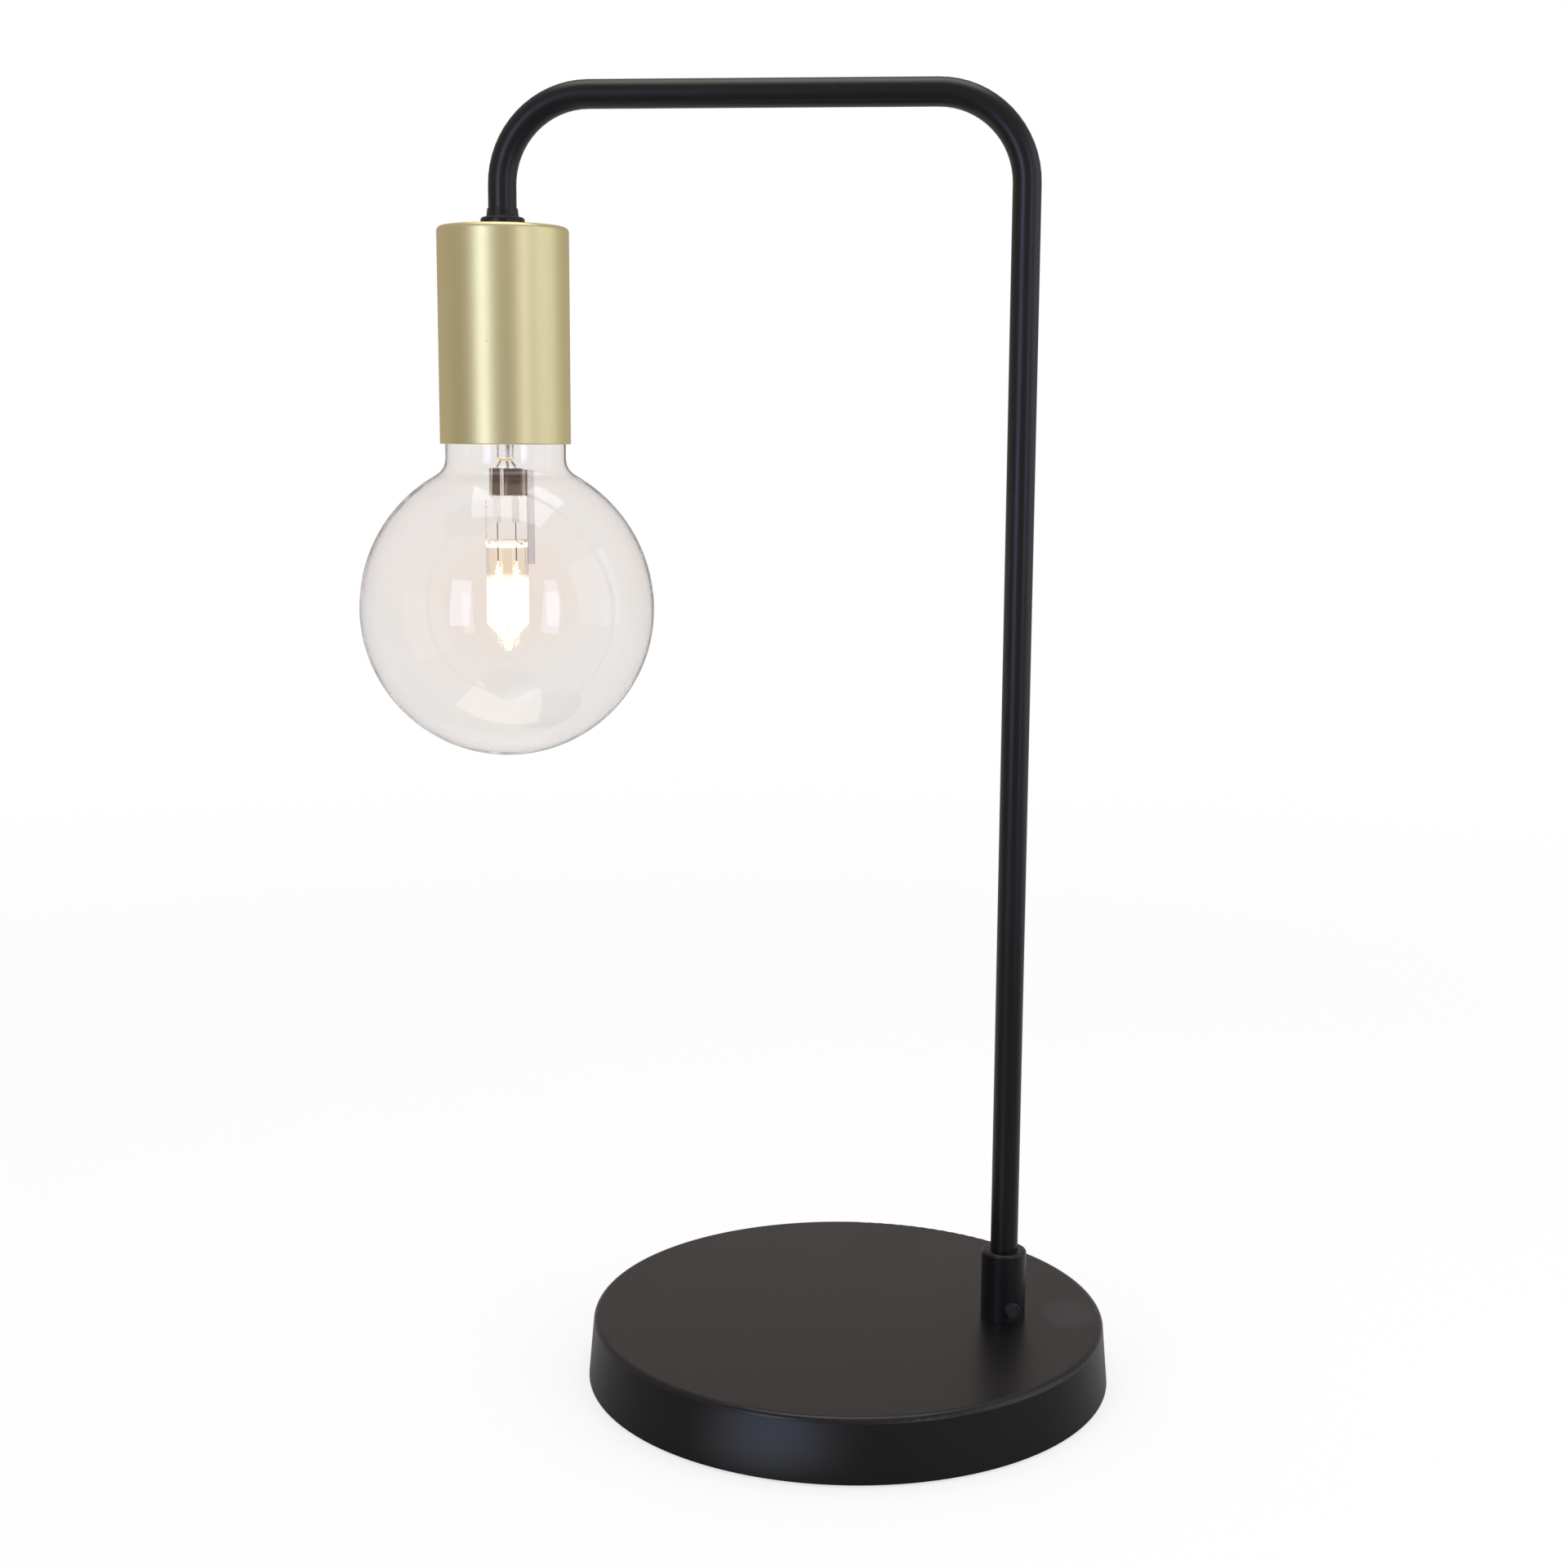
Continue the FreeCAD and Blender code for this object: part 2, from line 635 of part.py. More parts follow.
def leg_slot(x):
    """The slot in the insert for a contact's upright leg."""
    half_x = STRIP_T / 2 + STRIP_FIT
    half_y = STRIP_WIDTH / 2 + STRIP_FIT
    middle = HEAD_X + x
    return block((middle - half_x, middle + half_x), (-half_y, half_y), (INSERT_Z, INSERT_TOP_Z))


def holder_insert():
    body = rod(INSERT_R, INSERT_Z, INSERT_TOP_Z, HEAD_X)
    foot_inner, foot_outer = strap_foot_x()
    half_y = STRIP_WIDTH / 2 + STRIP_FIT
    recess = block(
        (HEAD_X + foot_inner - STRIP_FIT, HEAD_X + foot_outer + STRIP_FIT),
        (-half_y, half_y),
        (INSERT_Z, INSERT_Z + STRIP_T + STRIP_FIT),
    )
    body = body.cut(recess).cut(leg_slot(-CONTACT_LEG_X)).cut(leg_slot(STRAP_LEG_X))
    for side in (-1, 1):
        body = body.cut(rod(RIVET_R + SCREW_FIT, INSERT_Z, INSERT_TOP_Z, HEAD_X, side * RIVET_Y))
    return body


def contact_rivets():
    rivets = []
    plate_z = INSERT_Z - SHELL_PLATE_T
    for side in (-1, 1):
        y = side * RIVET_Y
        shank = rod(RIVET_R, plate_z, INSERT_TOP_Z, HEAD_X, y)
        lower = rod(RIVET_HEAD_R, plate_z - RIVET_HEAD_T, plate_z, HEAD_X, y)
        upper = rod(RIVET_HEAD_R, INSERT_TOP_Z, INSERT_TOP_Z + RIVET_HEAD_T, HEAD_X, y)
        rivets.append(shank.fuse([lower, upper]).removeSplitter())
    return Part.makeCompound(rivets)


def round_thread(core_r, crest_r, half_width, start_z, turns):
    """A rounded helical ridge about the bulb's axis, rooted just inside core_r."""
    root_r = core_r - THREAD_GAP / 2
    path = Part.makeHelix(THREAD_PITCH, THREAD_PITCH * turns, core_r)
    low = Vector(root_r, 0, -half_width)
    high = Vector(root_r, 0, half_width)
    crest = Part.Arc(low, Vector(crest_r, 0, 0), high).toShape()
    root = Part.LineSegment(high, low).toShape()
    ridge = path.makePipeShell([Part.Wire([crest, root])], True, True)
    ridge.translate(Vector(HEAD_X, 0, start_z))
    return ridge


def screw_shell():
    inner_r = THREAD_CORE_R + THREAD_GAP
    bottom_z = HOLDER_RIM_Z + SHELL_RECESS
    plate_z = INSERT_Z - SHELL_PLATE_T
    outline = [
        (inner_r, bottom_z, THREAD_GAP / 2),
        (SHELL_R, bottom_z, THREAD_GAP / 2),
        (SHELL_R, INSERT_Z, SHELL_PLATE_T),
        (SHELL_OPENING_R, INSERT_Z),
        (SHELL_OPENING_R, plate_z),
        (inner_r, plate_z),
    ]
    body = turned(outline, HEAD_X)
    cap_start = RIM_Z + THREAD_START
    turns_below = math.ceil((cap_start - bottom_z) / THREAD_PITCH) + 1
    groove = round_thread(
        inner_r - THREAD_GAP / 2,
        THREAD_CREST_R + THREAD_GAP,
        THREAD_HALF_WIDTH + THREAD_GAP,
        cap_start - turns_below * THREAD_PITCH,
        turns_below + THREAD_TURNS + THREAD_RUN_OUT,
    )
    body = body.cut(groove)
    for side in (-1, 1):
        body = body.cut(rod(RIVET_R + SCREW_FIT, plate_z, INSERT_Z, HEAD_X, side * RIVET_Y))
    return body


def terminal_blocks():
    half = TERMINAL_SIZE / 2
    screw_z = TERMINAL_Z + half
    blocks = []
    for side in (-1, 1):
        x = HEAD_X + side * TERMINAL_X
        body = block((x - half, x + half), (-half, half), (TERMINAL_Z, TERMINAL_TOP_Z))
        wire_hole = rod(
            CONDUCTOR_R + CONDUCTOR_FIT,
            TERMINAL_TOP_Z - CONDUCTOR_DEPTH - CONDUCTOR_FIT,
            TERMINAL_TOP_Z,
            x,
        )
        outward = Vector(side, 0, 0)
        thread = Part.makeCylinder(
            TERMINAL_SCREW_R + SCREW_FIT, TERMINAL_SIZE, Vector(x, 0, screw_z), outward
        )
        blocks.append(body.cut(wire_hole).cut(thread))
    return Part.makeCompound(blocks)


def terminal_screws():
    screw_z = TERMINAL_Z + TERMINAL_SIZE / 2
    start = CONDUCTOR_R + CONDUCTOR_FIT
    length = TERMINAL_SIZE / 2 - start + TERMINAL_SCREW_PROUD
    screws = []
    for side in (-1, 1):
        foot = Vector(HEAD_X + side * (TERMINAL_X + start), 0, screw_z)
        shank = Part.makeCylinder(TERMINAL_SCREW_R, length, foot, Vector(side, 0, 0))
        end_x = foot.x + side * length
        slot_x = sorted((end_x, end_x - side * SCREW_SLOT))
        slot = block(
            slot_x,
            (-TERMINAL_SCREW_R, TERMINAL_SCREW_R),
            (screw_z - SCREW_SLOT / 2, screw_z + SCREW_SLOT / 2),
        )
        screws.append(shank.cut(slot))
    return Part.makeCompound(screws)


def core_path(side, low_z):
    """The centreline of a core from the end of the flex to a height in its terminal."""
    start_x = HEAD_X + side * CORE_SPREAD
    end_x = HEAD_X + side * TERMINAL_X
    spread_z = CUP_TOP_Z - HEAD_SPIGOT - CORE_R * 2
    return rounded_wire(
        [
            (Vector(start_x, 0, FLEX_END_Z), 0),
            (Vector(start_x, 0, spread_z), CORE_TURN_R),
            (Vector(end_x, 0, spread_z - CORE_TURN_R / 2), CORE_TURN_R),
            (Vector(end_x, 0, low_z), 0),
        ]
    )


def insulated_core(side):
    return pipe(core_path(side, TERMINAL_TOP_Z + CONDUCTOR_FIT * 2), CORE_R)


def live_core():
    return insulated_core(-1)


def neutral_core():
    return insulated_core(1)


def conductor_ends():
    top_z = TERMINAL_TOP_Z + CONDUCTOR_FIT * 2
    ends = []
    for side in (-1, 1):
        x = HEAD_X + side * TERMINAL_X
        ends.append(rod(CONDUCTOR_R, TERMINAL_TOP_Z - CONDUCTOR_DEPTH, top_z, x))
    return Part.makeCompound(ends)


# ---- bulb: globe, screw cap and stem ----
def globe_solid(inset, top_z):
    """The globe with its neck as a full solid, its face moved inward by inset."""
    low_r = GLOBE_R - inset
    high_r = GLOBE_UPPER_R - inset
    offset = GLOBE_UPPER_R - GLOBE_R
    fillet_r = NECK_FILLET_R + inset
    neck_r = NECK_R - inset
    tube_r = NECK_TUBE_R - inset
    fillet_x = NECK_R + NECK_FILLET_R
    reach = GLOBE_UPPER_R + NECK_FILLET_R
    fillet_z = GLOBE_Z + math.sqrt(reach**2 - (fillet_x + offset) ** 2)
    leaning = math.degrees(math.atan2(fillet_z - GLOBE_Z, fillet_x + offset))
    shoulder_x = NECK_R - NECK_SHOULDER_R
    lower_r = NECK_SHOULDER_R - inset
    upper_r = shoulder_x - NECK_TUBE_R + inset
    tube_z = RIM_Z - NECK_BELOW_CAP
    shoulder_z = tube_z - (lower_r + upper_r)
    axis_low = Vector(HEAD_X, 0, GLOBE_Z - low_r)
    axis_high = Vector(HEAD_X, 0, top_z)
    edges = [
        arc_edge(0, GLOBE_Z, low_r, -90, 0, HEAD_X),
        arc_edge(-offset, GLOBE_Z, high_r, 0, leaning, HEAD_X),
        arc_edge(fillet_x, fillet_z, fillet_r, 180 + leaning, 180, HEAD_X),
        line(neck_r, fillet_z, neck_r, shoulder_z),
        arc_edge(shoulder_x, shoulder_z, lower_r, 0, 90, HEAD_X),
        arc_edge(shoulder_x, tube_z, upper_r, 270, 180, HEAD_X),
        line(tube_r, tube_z, tube_r, top_z),
        Part.LineSegment(Vector(HEAD_X + tube_r, 0, top_z), axis_high).toShape(),
        Part.LineSegment(axis_high, axis_low).toShape(),
    ]
    return spin(Part.Wire(edges), HEAD_X)


def line(r0, z0, r1, z1):
    """A straight edge in the XZ plane, with radii from the bulb's axis."""
    return Part.LineSegment(Vector(HEAD_X + r0, 0, z0), Vector(HEAD_X + r1, 0, z1)).toShape()


def glass_globe():
    top_z = RIM_Z + NECK_TUBE_IN_CAP
    return globe_solid(0, top_z).cut(globe_solid(GLASS_WALL, top_z))


def bulb_cap():
    barrel_z = RIM_Z + CAP_BARREL
    outline = [
        (CAP_RIM_R, RIM_Z),
        (THREAD_CORE_R, RIM_Z + CAP_RIM_T),
        (THREAD_CORE_R, barrel_z, CAP_SHOULDER_R),
        (CAP_MOUTH_R, RIM_Z + CAP_TOP),
        (CAP_MOUTH_R - CAP_SHEET, RIM_Z + CAP_TOP - CAP_SHEET),
        (THREAD_CORE_R - CAP_SHEET, barrel_z - CAP_SHEET),
        (THREAD_CORE_R - CAP_SHEET, RIM_Z + CAP_RIM_T),
        (CAP_RIM_R - CAP_SHEET, RIM_Z),
    ]
    thread = round_thread(
        THREAD_CORE_R, THREAD_CREST_R, THREAD_HALF_WIDTH, RIM_Z + THREAD_START, THREAD_TURNS
    )
    return turned(outline, HEAD_X).fuse(thread)


def cap_cement():
    outer = THREAD_CORE_R - CAP_SHEET - CEMENT_FIT
    inner = NECK_TUBE_R + CEMENT_FIT
    low = RIM_Z + CAP_RIM_T
    return ring(outer, inner, low, RIM_Z + NECK_TUBE_IN_CAP, HEAD_X)


def cap_insulator():
    mouth_r = CAP_MOUTH_R - CAP_SHEET - INSULATOR_FIT
    flange_z = RIM_Z + INSULATOR_FLANGE_Z
    cone_z = RIM_Z + CAP_TOP
    outline = [
        (INSULATOR_HOLE_R, flange_z),
        (INSULATOR_FLANGE_R, flange_z),
        (INSULATOR_FLANGE_R, flange_z + INSULATOR_FLANGE_T),
        (mouth_r, cone_z - CAP_SHEET),
        (mouth_r, cone_z),
        (INSULATOR_TOP_R, RIM_Z + INSULATOR_TOP),
        (INSULATOR_HOLE_R, RIM_Z + INSULATOR_TOP),
    ]
    return turned(outline, HEAD_X)


def bulb_contact():
    low = RIM_Z + INSULATOR_TOP
    rim_z = low + CONTACT_RIM_T
    top = Vector(HEAD_X, 0, BULB_TOP_Z)
    edge = Vector(HEAD_X + CONTACT_R, 0, rim_z)
    rise = BULB_TOP_Z - rim_z
    dome_r = (CONTACT_R**2 + rise**2) / (2 * rise)
    lean = math.asin(CONTACT_R / dome_r) / 2
    middle = Vector(
        HEAD_X + dome_r * math.sin(lean), 0, BULB_TOP_Z - dome_r * (1 - math.cos(lean))
    )
    foot = Vector(HEAD_X, 0, low)
    wire = Part.Wire(
        [
            line(0, low, CONTACT_R, low),
            line(CONTACT_R, low, CONTACT_R, rim_z),
            Part.Arc(edge, middle, top).toShape(),
            Part.LineSegment(top, foot).toShape(),
        ]
    )
    return spin(wire, HEAD_X)


def support_path():
    """The thick wire from the stem to the back of the capsule's clip."""
    back_y = PINCH_HALF_Y + CLIP_FIT + CLIP_SHEET + CLIP_FIT + SUPPORT_R
    clip_top = BULB_TIP_Z + CLIP_BOTTOM + CLIP_HEIGHT
    knee_z = STEM_END_Z - SUPPORT_R
    return rounded_wire(
        [
            (Vector(HEAD_X, SUPPORT_STEM_Y, STEM_END_Z + SUPPORT_IN_STEM), 0),
            (Vector(HEAD_X, SUPPORT_STEM_Y, knee_z), SUPPORT_R * 2),
            (Vector(HEAD_X, back_y, (knee_z + clip_top) / 2), SUPPORT_R * 2),
            (Vector(HEAD_X, back_y, BULB_TIP_Z + CLIP_BOTTOM + CLIP_HEIGHT / 4), 0),
        ]
    )


def stem_glass():
    flare_r = NECK_TUBE_R - GLASS_WALL - CEMENT_FIT
    flare_top = STEM_FLARE_Z + STEM_FLARE_T
    neck_z = STEM_FLARE_Z - STEM_FLARE_HEIGHT
    outline = [
        (0, STEM_END_Z),
        (STEM_END_R, STEM_END_Z, STEM_END_R / 2),
        (STEM_END_R, neck_z - STEM_END_R, STEM_END_R),
        (STEM_NECK_R, neck_z, STEM_END_R),
        (flare_r, STEM_FLARE_Z),
        (flare_r, flare_top),
        (flare_r - STEM_FLARE_T, flare_top),
        (STEM_END_R, neck_z + STEM_FLARE_T / 2),
        (0, neck_z),
    ]
    body = turned(outline, HEAD_X)
    for side in (-1, 1):
        x = HEAD_X + side * STEM_WIRE_X
        body = body.cut(rod(WIRE_R + WIRE_FIT, STEM_END_Z, flare_top, x))
    hole_top = STEM_END_Z + SUPPORT_IN_STEM + WIRE_FIT
    return body.cut(rod(SUPPORT_R + WIRE_FIT, STEM_END_Z, hole_top, HEAD_X, SUPPORT_STEM_Y))


def lead_wires():
    """One wire to the tip contact, one to the cap's barrel, both down through the stem to the pins."""
    pin_z = BULB_TIP_Z + CAPSULE_TOP
    insulator_z = RIM_Z + INSULATOR_FLANGE_Z - TIP_WIRE_DROP
    barrel_x = THREAD_CORE_R - CAP_SHEET - WIRE_R - WIRE_FIT
    barrel_z = RIM_Z + (NECK_TUBE_IN_CAP + INSULATOR_FLANGE_Z) / 2
    bend = WIRE_R * 2
    starts = {
        -1: [(0, RIM_Z + INSULATOR_TOP, 0), (0, insulator_z, bend)],
        1: [(barrel_x, barrel_z + bend * 2, 0), (barrel_x, barrel_z, bend)],
    }
    below_stem = STEM_END_Z - WIRE_R
    wires = []
    for side, start in starts.items():
        rest = [
            (side * STEM_WIRE_X, STEM_FLARE_Z + WIRE_SPREAD_RISE, bend),
            (side * STEM_WIRE_X, below_stem, bend),
            (side * LEG_X, (below_stem + pin_z) / 2, bend),
            (side * LEG_X, pin_z, 0),
        ]
        corners = [(Vector(HEAD_X + x, 0, z), radius) for x, z, radius in start + rest]
        wires.append(pipe(rounded_wire(corners), WIRE_R))
    return Part.makeCompound(wires)


def support_wire():
    return pipe(support_path(), SUPPORT_R)


# ---- bulb: halogen capsule ----
def capsule_z(height):
    """A height of the capsule, measured up from the tip of the globe."""
    return BULB_TIP_Z + height


def capsule_body(inset):
    """The capsule below its pinch as a full solid, its face moved inward by inset."""
    radius = CAPSULE_R - inset
    top = capsule_z(CAPSULE_SHOULDER) - inset
    dome = capsule_z(CAPSULE_DOME) + inset / 2
    low = dome - CAPSULE_DOME_HEIGHT + inset / 4
    tip_r = CAPSULE_TIP_R + (CAPSULE_R - CAPSULE_TIP_R) / 6
    return turned(
        [(0, low), (tip_r, low), (radius, dome, radius / 5), (radius, top, radius / 5), (0, top)],
        HEAD_X,
    )


def capsule_pinch():
    """The flat end that the capsule's glass is pressed into, slim above its shoulders."""
    low = capsule_z(CAPSULE_SHOULDER) - CAPSULE_WALL * 3 / 2
    shoulder = capsule_z(PINCH_SHOULDER)
    half = [
        (CAPSULE_R, low, 0),
        (CAPSULE_R, shoulder, PINCH_SHOULDER_R),
        (PINCH_SLIM_X, shoulder, PINCH_EDGE_R),
        (PINCH_SLIM_X, capsule_z(CAPSULE_TOP), 0),
    ]
    outline = half + [(-x, z, radius) for x, z, radius in half[::-1]]
    corners = [(Vector(HEAD_X + x, -PINCH_HALF_Y, z), radius) for x, z, radius in outline]
    body = Part.Face(rounded_wire(corners, closed=True)).extrude(Vector(0, PINCH_HALF_Y * 2, 0))
    return body.makeFillet(PINCH_EDGE_R, upright_edges(body))


def capsule_glass():
    tip = turned(
        [
            (0, capsule_z(CAPSULE_TIP)),
            (CAPSULE_TIP_R / 2, capsule_z(CAPSULE_TIP)),
            (CAPSULE_TIP_R, capsule_z(CAPSULE_TIP) + CAPSULE_TIP_R),
            (CAPSULE_TIP_R, capsule_z(CAPSULE_DOME) - CAPSULE_DOME_HEIGHT + GLASS_WALL),
            (0, capsule_z(CAPSULE_DOME) - CAPSULE_DOME_HEIGHT + GLASS_WALL),
        ],
        HEAD_X,
    )
    glass = capsule_body(0).fuse([tip, capsule_pinch()]).cut(capsule_body(CAPSULE_WALL))
    foil_low = capsule_z(FOIL_TOP) - FOIL_LENGTH
    for side in (-1, 1):
        x = HEAD_X + side * LEG_X
        half_x = FOIL_WIDTH / 2 + WIRE_FIT
        half_y = FOIL_T / 2 + WIRE_FIT
        slot = block(
            (x - half_x, x + half_x),
            (-half_y, half_y),
            (foil_low - WIRE_FIT, capsule_z(FOIL_TOP) + WIRE_FIT),
        )
        pin_hole = rod(WIRE_R + WIRE_FIT, capsule_z(FOIL_TOP), capsule_z(CAPSULE_TOP), x)
        leg_hole = rod(
            FILAMENT_WIRE_R + WIRE_FIT, capsule_z(CAPSULE_SHOULDER) - CAPSULE_WALL * 2, foil_low, x
        )
        glass = glass.cut([slot, pin_hole, leg_hole])
    return glass


def upright_edges(shape):
    """The vertical edges of a box."""
    return [edge for edge in shape.Edges if abs(edge.tangentAt(edge.FirstParameter).z) > 0.9]


def capsule_pins():
    pins = []
    for side in (-1, 1):
        x = HEAD_X + side * LEG_X
        pins.append(rod(WIRE_R, capsule_z(FOIL_TOP), capsule_z(CAPSULE_TOP), x))
    return Part.makeCompound(pins)


def foils():
    sheets = []
    for side in (-1, 1):
        x = HEAD_X + side * LEG_X
        sheets.append(
            block(
                (x - FOIL_WIDTH / 2, x + FOIL_WIDTH / 2),
                (-FOIL_T / 2, FOIL_T / 2),
                (capsule_z(FOIL_TOP) - FOIL_LENGTH, capsule_z(FOIL_TOP)),
            )
        )
    return Part.makeCompound(sheets)


def capsule_clip():
    inner_x = PINCH_SLIM_X + CLIP_FIT
    inner_y = PINCH_HALF_Y + CLIP_FIT
    outer_x = inner_x + CLIP_SHEET
    outer_y = inner_y + CLIP_SHEET
    heights = (capsule_z(CLIP_BOTTOM), capsule_z(CLIP_BOTTOM) + CLIP_HEIGHT)
    outside = block((HEAD_X - outer_x, HEAD_X + outer_x), (-outer_y, outer_y), heights)
    outside = outside.makeFillet(CLIP_SHEET * 2, upright_edges(outside))
    inside = block((HEAD_X - inner_x, HEAD_X + inner_x), (-inner_y, inner_y), heights)
    inside = inside.makeFillet(CLIP_SHEET, upright_edges(inside))
    leg_x = (HEAD_X + CAPSULE_R + CLIP_FIT, HEAD_X + CAPSULE_R + CLIP_FIT + CLIP_LEG_WIDTH)
    leg_y = (-CLIP_SHEET / 2, CLIP_SHEET / 2)
    side_x = (HEAD_X + outer_x - CLIP_SHEET / 2, leg_x[1])
    side = block(side_x, leg_y, (heights[0], heights[1] - CLIP_SHEET))
    leg = block(leg_x, leg_y, (heights[0] - CLIP_LEG_LENGTH, heights[0]))
    lug = block(leg_x, (-CLIP_SHEET * 2, CLIP_SHEET / 2), (heights[0] - CLIP_LUG, heights[0]))
    return outside.cut(inside).fuse([side, leg, lug]).removeSplitter()


def biarc(start, start_dir, end, end_dir):
    """Two tangent arcs from one point and direction to another."""
    chord = end - start
    both = start_dir + end_dir
    spread = 2 * (1 - start_dir.dot(end_dir))
    along = chord.dot(both)
    if abs(spread) < TINY:
        reach = chord.dot(chord) / (2 * along)
    else:
        reach = (-along + math.sqrt(along**2 + spread * chord.dot(chord))) / spread
    joint = (start + end + (start_dir - end_dir) * reach) / 2
    return [tangent_arc(start, start_dir, joint), tangent_arc(end, end_dir * -1, joint)]


def tangent_arc(start, direction, end):
    """An arc that leaves start along direction and ends at end, as (start, middle, end)."""
    chord = end - start
    along = unit(chord)
    side = direction - along * direction.dot(along)
    if side.Length < TINY:
        return start, (start + end) / 2, end
    bend = math.acos(max(-1.0, min(1.0, unit(direction).dot(along))))
    middle = (start + end) / 2 + unit(side) * (chord.Length / 2 * math.tan(bend / 2))
    return start, middle, end


def coil_stations(centre_x, start_z, end_z):
    """Points and directions along one coiled leg, a quarter turn apart. It is level at its lower end."""
    quarters = FILAMENT_TURNS * 4
    slope = (end_z - start_z) / (quarters * FILAMENT_COIL_R * math.pi / 2)
    bottom_index = 0 if end_z > start_z else quarters
    stations = []
    for index in range(quarters + 1):
        turn = math.radians(90 * (index - bottom_index) - 90)
        rise = 0 if index == bottom_index else slope
        height = start_z + (end_z - start_z) * index / quarters
        across = FILAMENT_COIL_R * Vector(math.cos(turn), math.sin(turn), 0)
        along = unit(Vector(-math.sin(turn), math.cos(turn), rise))
        stations.append((Vector(centre_x, 0, height) + across, along))
    return stations


def filament_stations():
    """The whole filament: a straight leg, a coil down, a link across, a coil up, a straight leg."""
    top_z = capsule_z(FILAMENT_TOP)
    bottom_z = top_z - FILAMENT_TURNS * FILAMENT_PITCH
    leg_top = capsule_z(FOIL_TOP) - FOIL_LENGTH
    left = HEAD_X - LEG_X
    right = HEAD_X + LEG_X
    down = Vector(0, 0, -1)
    return (
        [(Vector(left, 0, leg_top), down), (Vector(left, 0, top_z + FILAMENT_RUN), down)]
        + coil_stations(left, top_z, bottom_z)
        + coil_stations(right, bottom_z, top_z)
        + [(Vector(right, 0, top_z + FILAMENT_RUN), down * -1), (Vector(right, 0, leg_top), down * -1)]
    )


def filament():
    stations = filament_stations()
    edges = []
    samples = []
    for (start, start_dir), (end, end_dir) in zip(stations, stations[1:]):
        straight = unit(end - start)
        if min(straight.dot(start_dir), straight.dot(end_dir)) > 1 - TINY:
            edges.append(Part.LineSegment(start, end).toShape())
            continue
        for points in arcs_in_order(start, start_dir, end, end_dir):
            edges.append(Part.Arc(*points).toShape())
            samples.append(points[1])
            samples.append(points[2])
    path = Part.Wire(edges)
    solid = pipe(path, FILAMENT_WIRE_R)
    report_tube("filament", solid, path, FILAMENT_WIRE_R)
    print(f"filament: least gap to itself {least_gap(samples):.2f}")
    return solid


def arcs_in_order(start, start_dir, end, end_dir):
    """The two arcs of a biarc, both run from start to end."""
    first, second = biarc(start, start_dir, end, end_dir)
    return first, second[::-1]


def least_gap(samples):
    """The least gap of the filament to itself, between points over half a turn apart on it."""
    apart = 5
    nearest = min(
        (samples[i] - samples[j]).Length
        for i in range(len(samples))
        for j in range(i + apart, len(samples))
    )
    return nearest - 2 * FILAMENT_WIRE_R


def filament_post():
    bottom_z = capsule_z(FILAMENT_TOP) - FILAMENT_TURNS * FILAMENT_PITCH
    low = capsule_z(CAPSULE_DOME) - CAPSULE_DOME_HEIGHT + CAPSULE_WALL * 3 / 4
    high = bottom_z - FILAMENT_WIRE_R - WIRE_FIT
    return rod(POST_R, low, high, HEAD_X, -FILAMENT_COIL_R)


PIECES = [
    base_cover,
    base_weight,
    base_pad,
    foot_washer,
    foot_lock_washer,
    foot_nut,
    pole_collar,
    cord_sleeve,
    arm_tube,
    inner_flex,
    tube_ferrule,
    socket_cup,
    holder_lock_washer,
    holder_cap,
    holder_skirt,
    holder_insert,
    screw_shell,
    centre_contact,
    shell_contact,
    contact_rivets,
    terminal_blocks,
    terminal_screws,
    live_core,
    neutral_core,
    conductor_ends,
    glass_globe,
    bulb_cap,
    cap_cement,
    cap_insulator,
    bulb_contact,
    stem_glass,
    lead_wires,
    support_wire,
    capsule_clip,
    capsule_glass,
    capsule_pins,
    foils,
    filament,
    filament_post,
]


def main():
    os.makedirs("parts", exist_ok=True)
    for piece in PIECES:
        shape = piece()
        shape.exportStep(f"parts/{piece.__name__}.step")
        solids = len(shape.Solids)
        print(f"{piece.__name__}: {solids} solid, {shape.Volume:.1f} mm3, valid {shape.isValid()}")


if __name__ == "__main__":
    main()
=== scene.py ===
"""Bare bulb table lamp: finishes, bulb glass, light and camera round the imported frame."""

import logging
import math
from abc import ABC, abstractmethod
from dataclasses import dataclass
from enum import Enum
from typing import Any, Dict, Mapping, Optional, Sequence, Tuple, Union

import bmesh
import bpy
from mathutils import Matrix, Vector

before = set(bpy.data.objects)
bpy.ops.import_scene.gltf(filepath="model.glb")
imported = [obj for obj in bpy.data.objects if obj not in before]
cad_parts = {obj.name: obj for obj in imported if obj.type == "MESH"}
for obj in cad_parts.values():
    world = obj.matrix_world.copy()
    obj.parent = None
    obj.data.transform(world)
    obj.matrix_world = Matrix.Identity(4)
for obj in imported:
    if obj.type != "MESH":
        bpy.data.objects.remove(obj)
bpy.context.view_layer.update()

LOG = logging.getLogger("lamp")

Colour = Tuple[float, float, float]
Point = Tuple[float, float, float]
MM = 0.001
MICRON = 0.000001
BLACK: Colour = (0.0, 0.0, 0.0)
WHITE: Colour = (1.0, 1.0, 1.0)
HEAD_X = -113 * MM
HEAD: Point = (HEAD_X, 0.0, 260 * MM)


# ---------------------------------------------------------------- shader maths


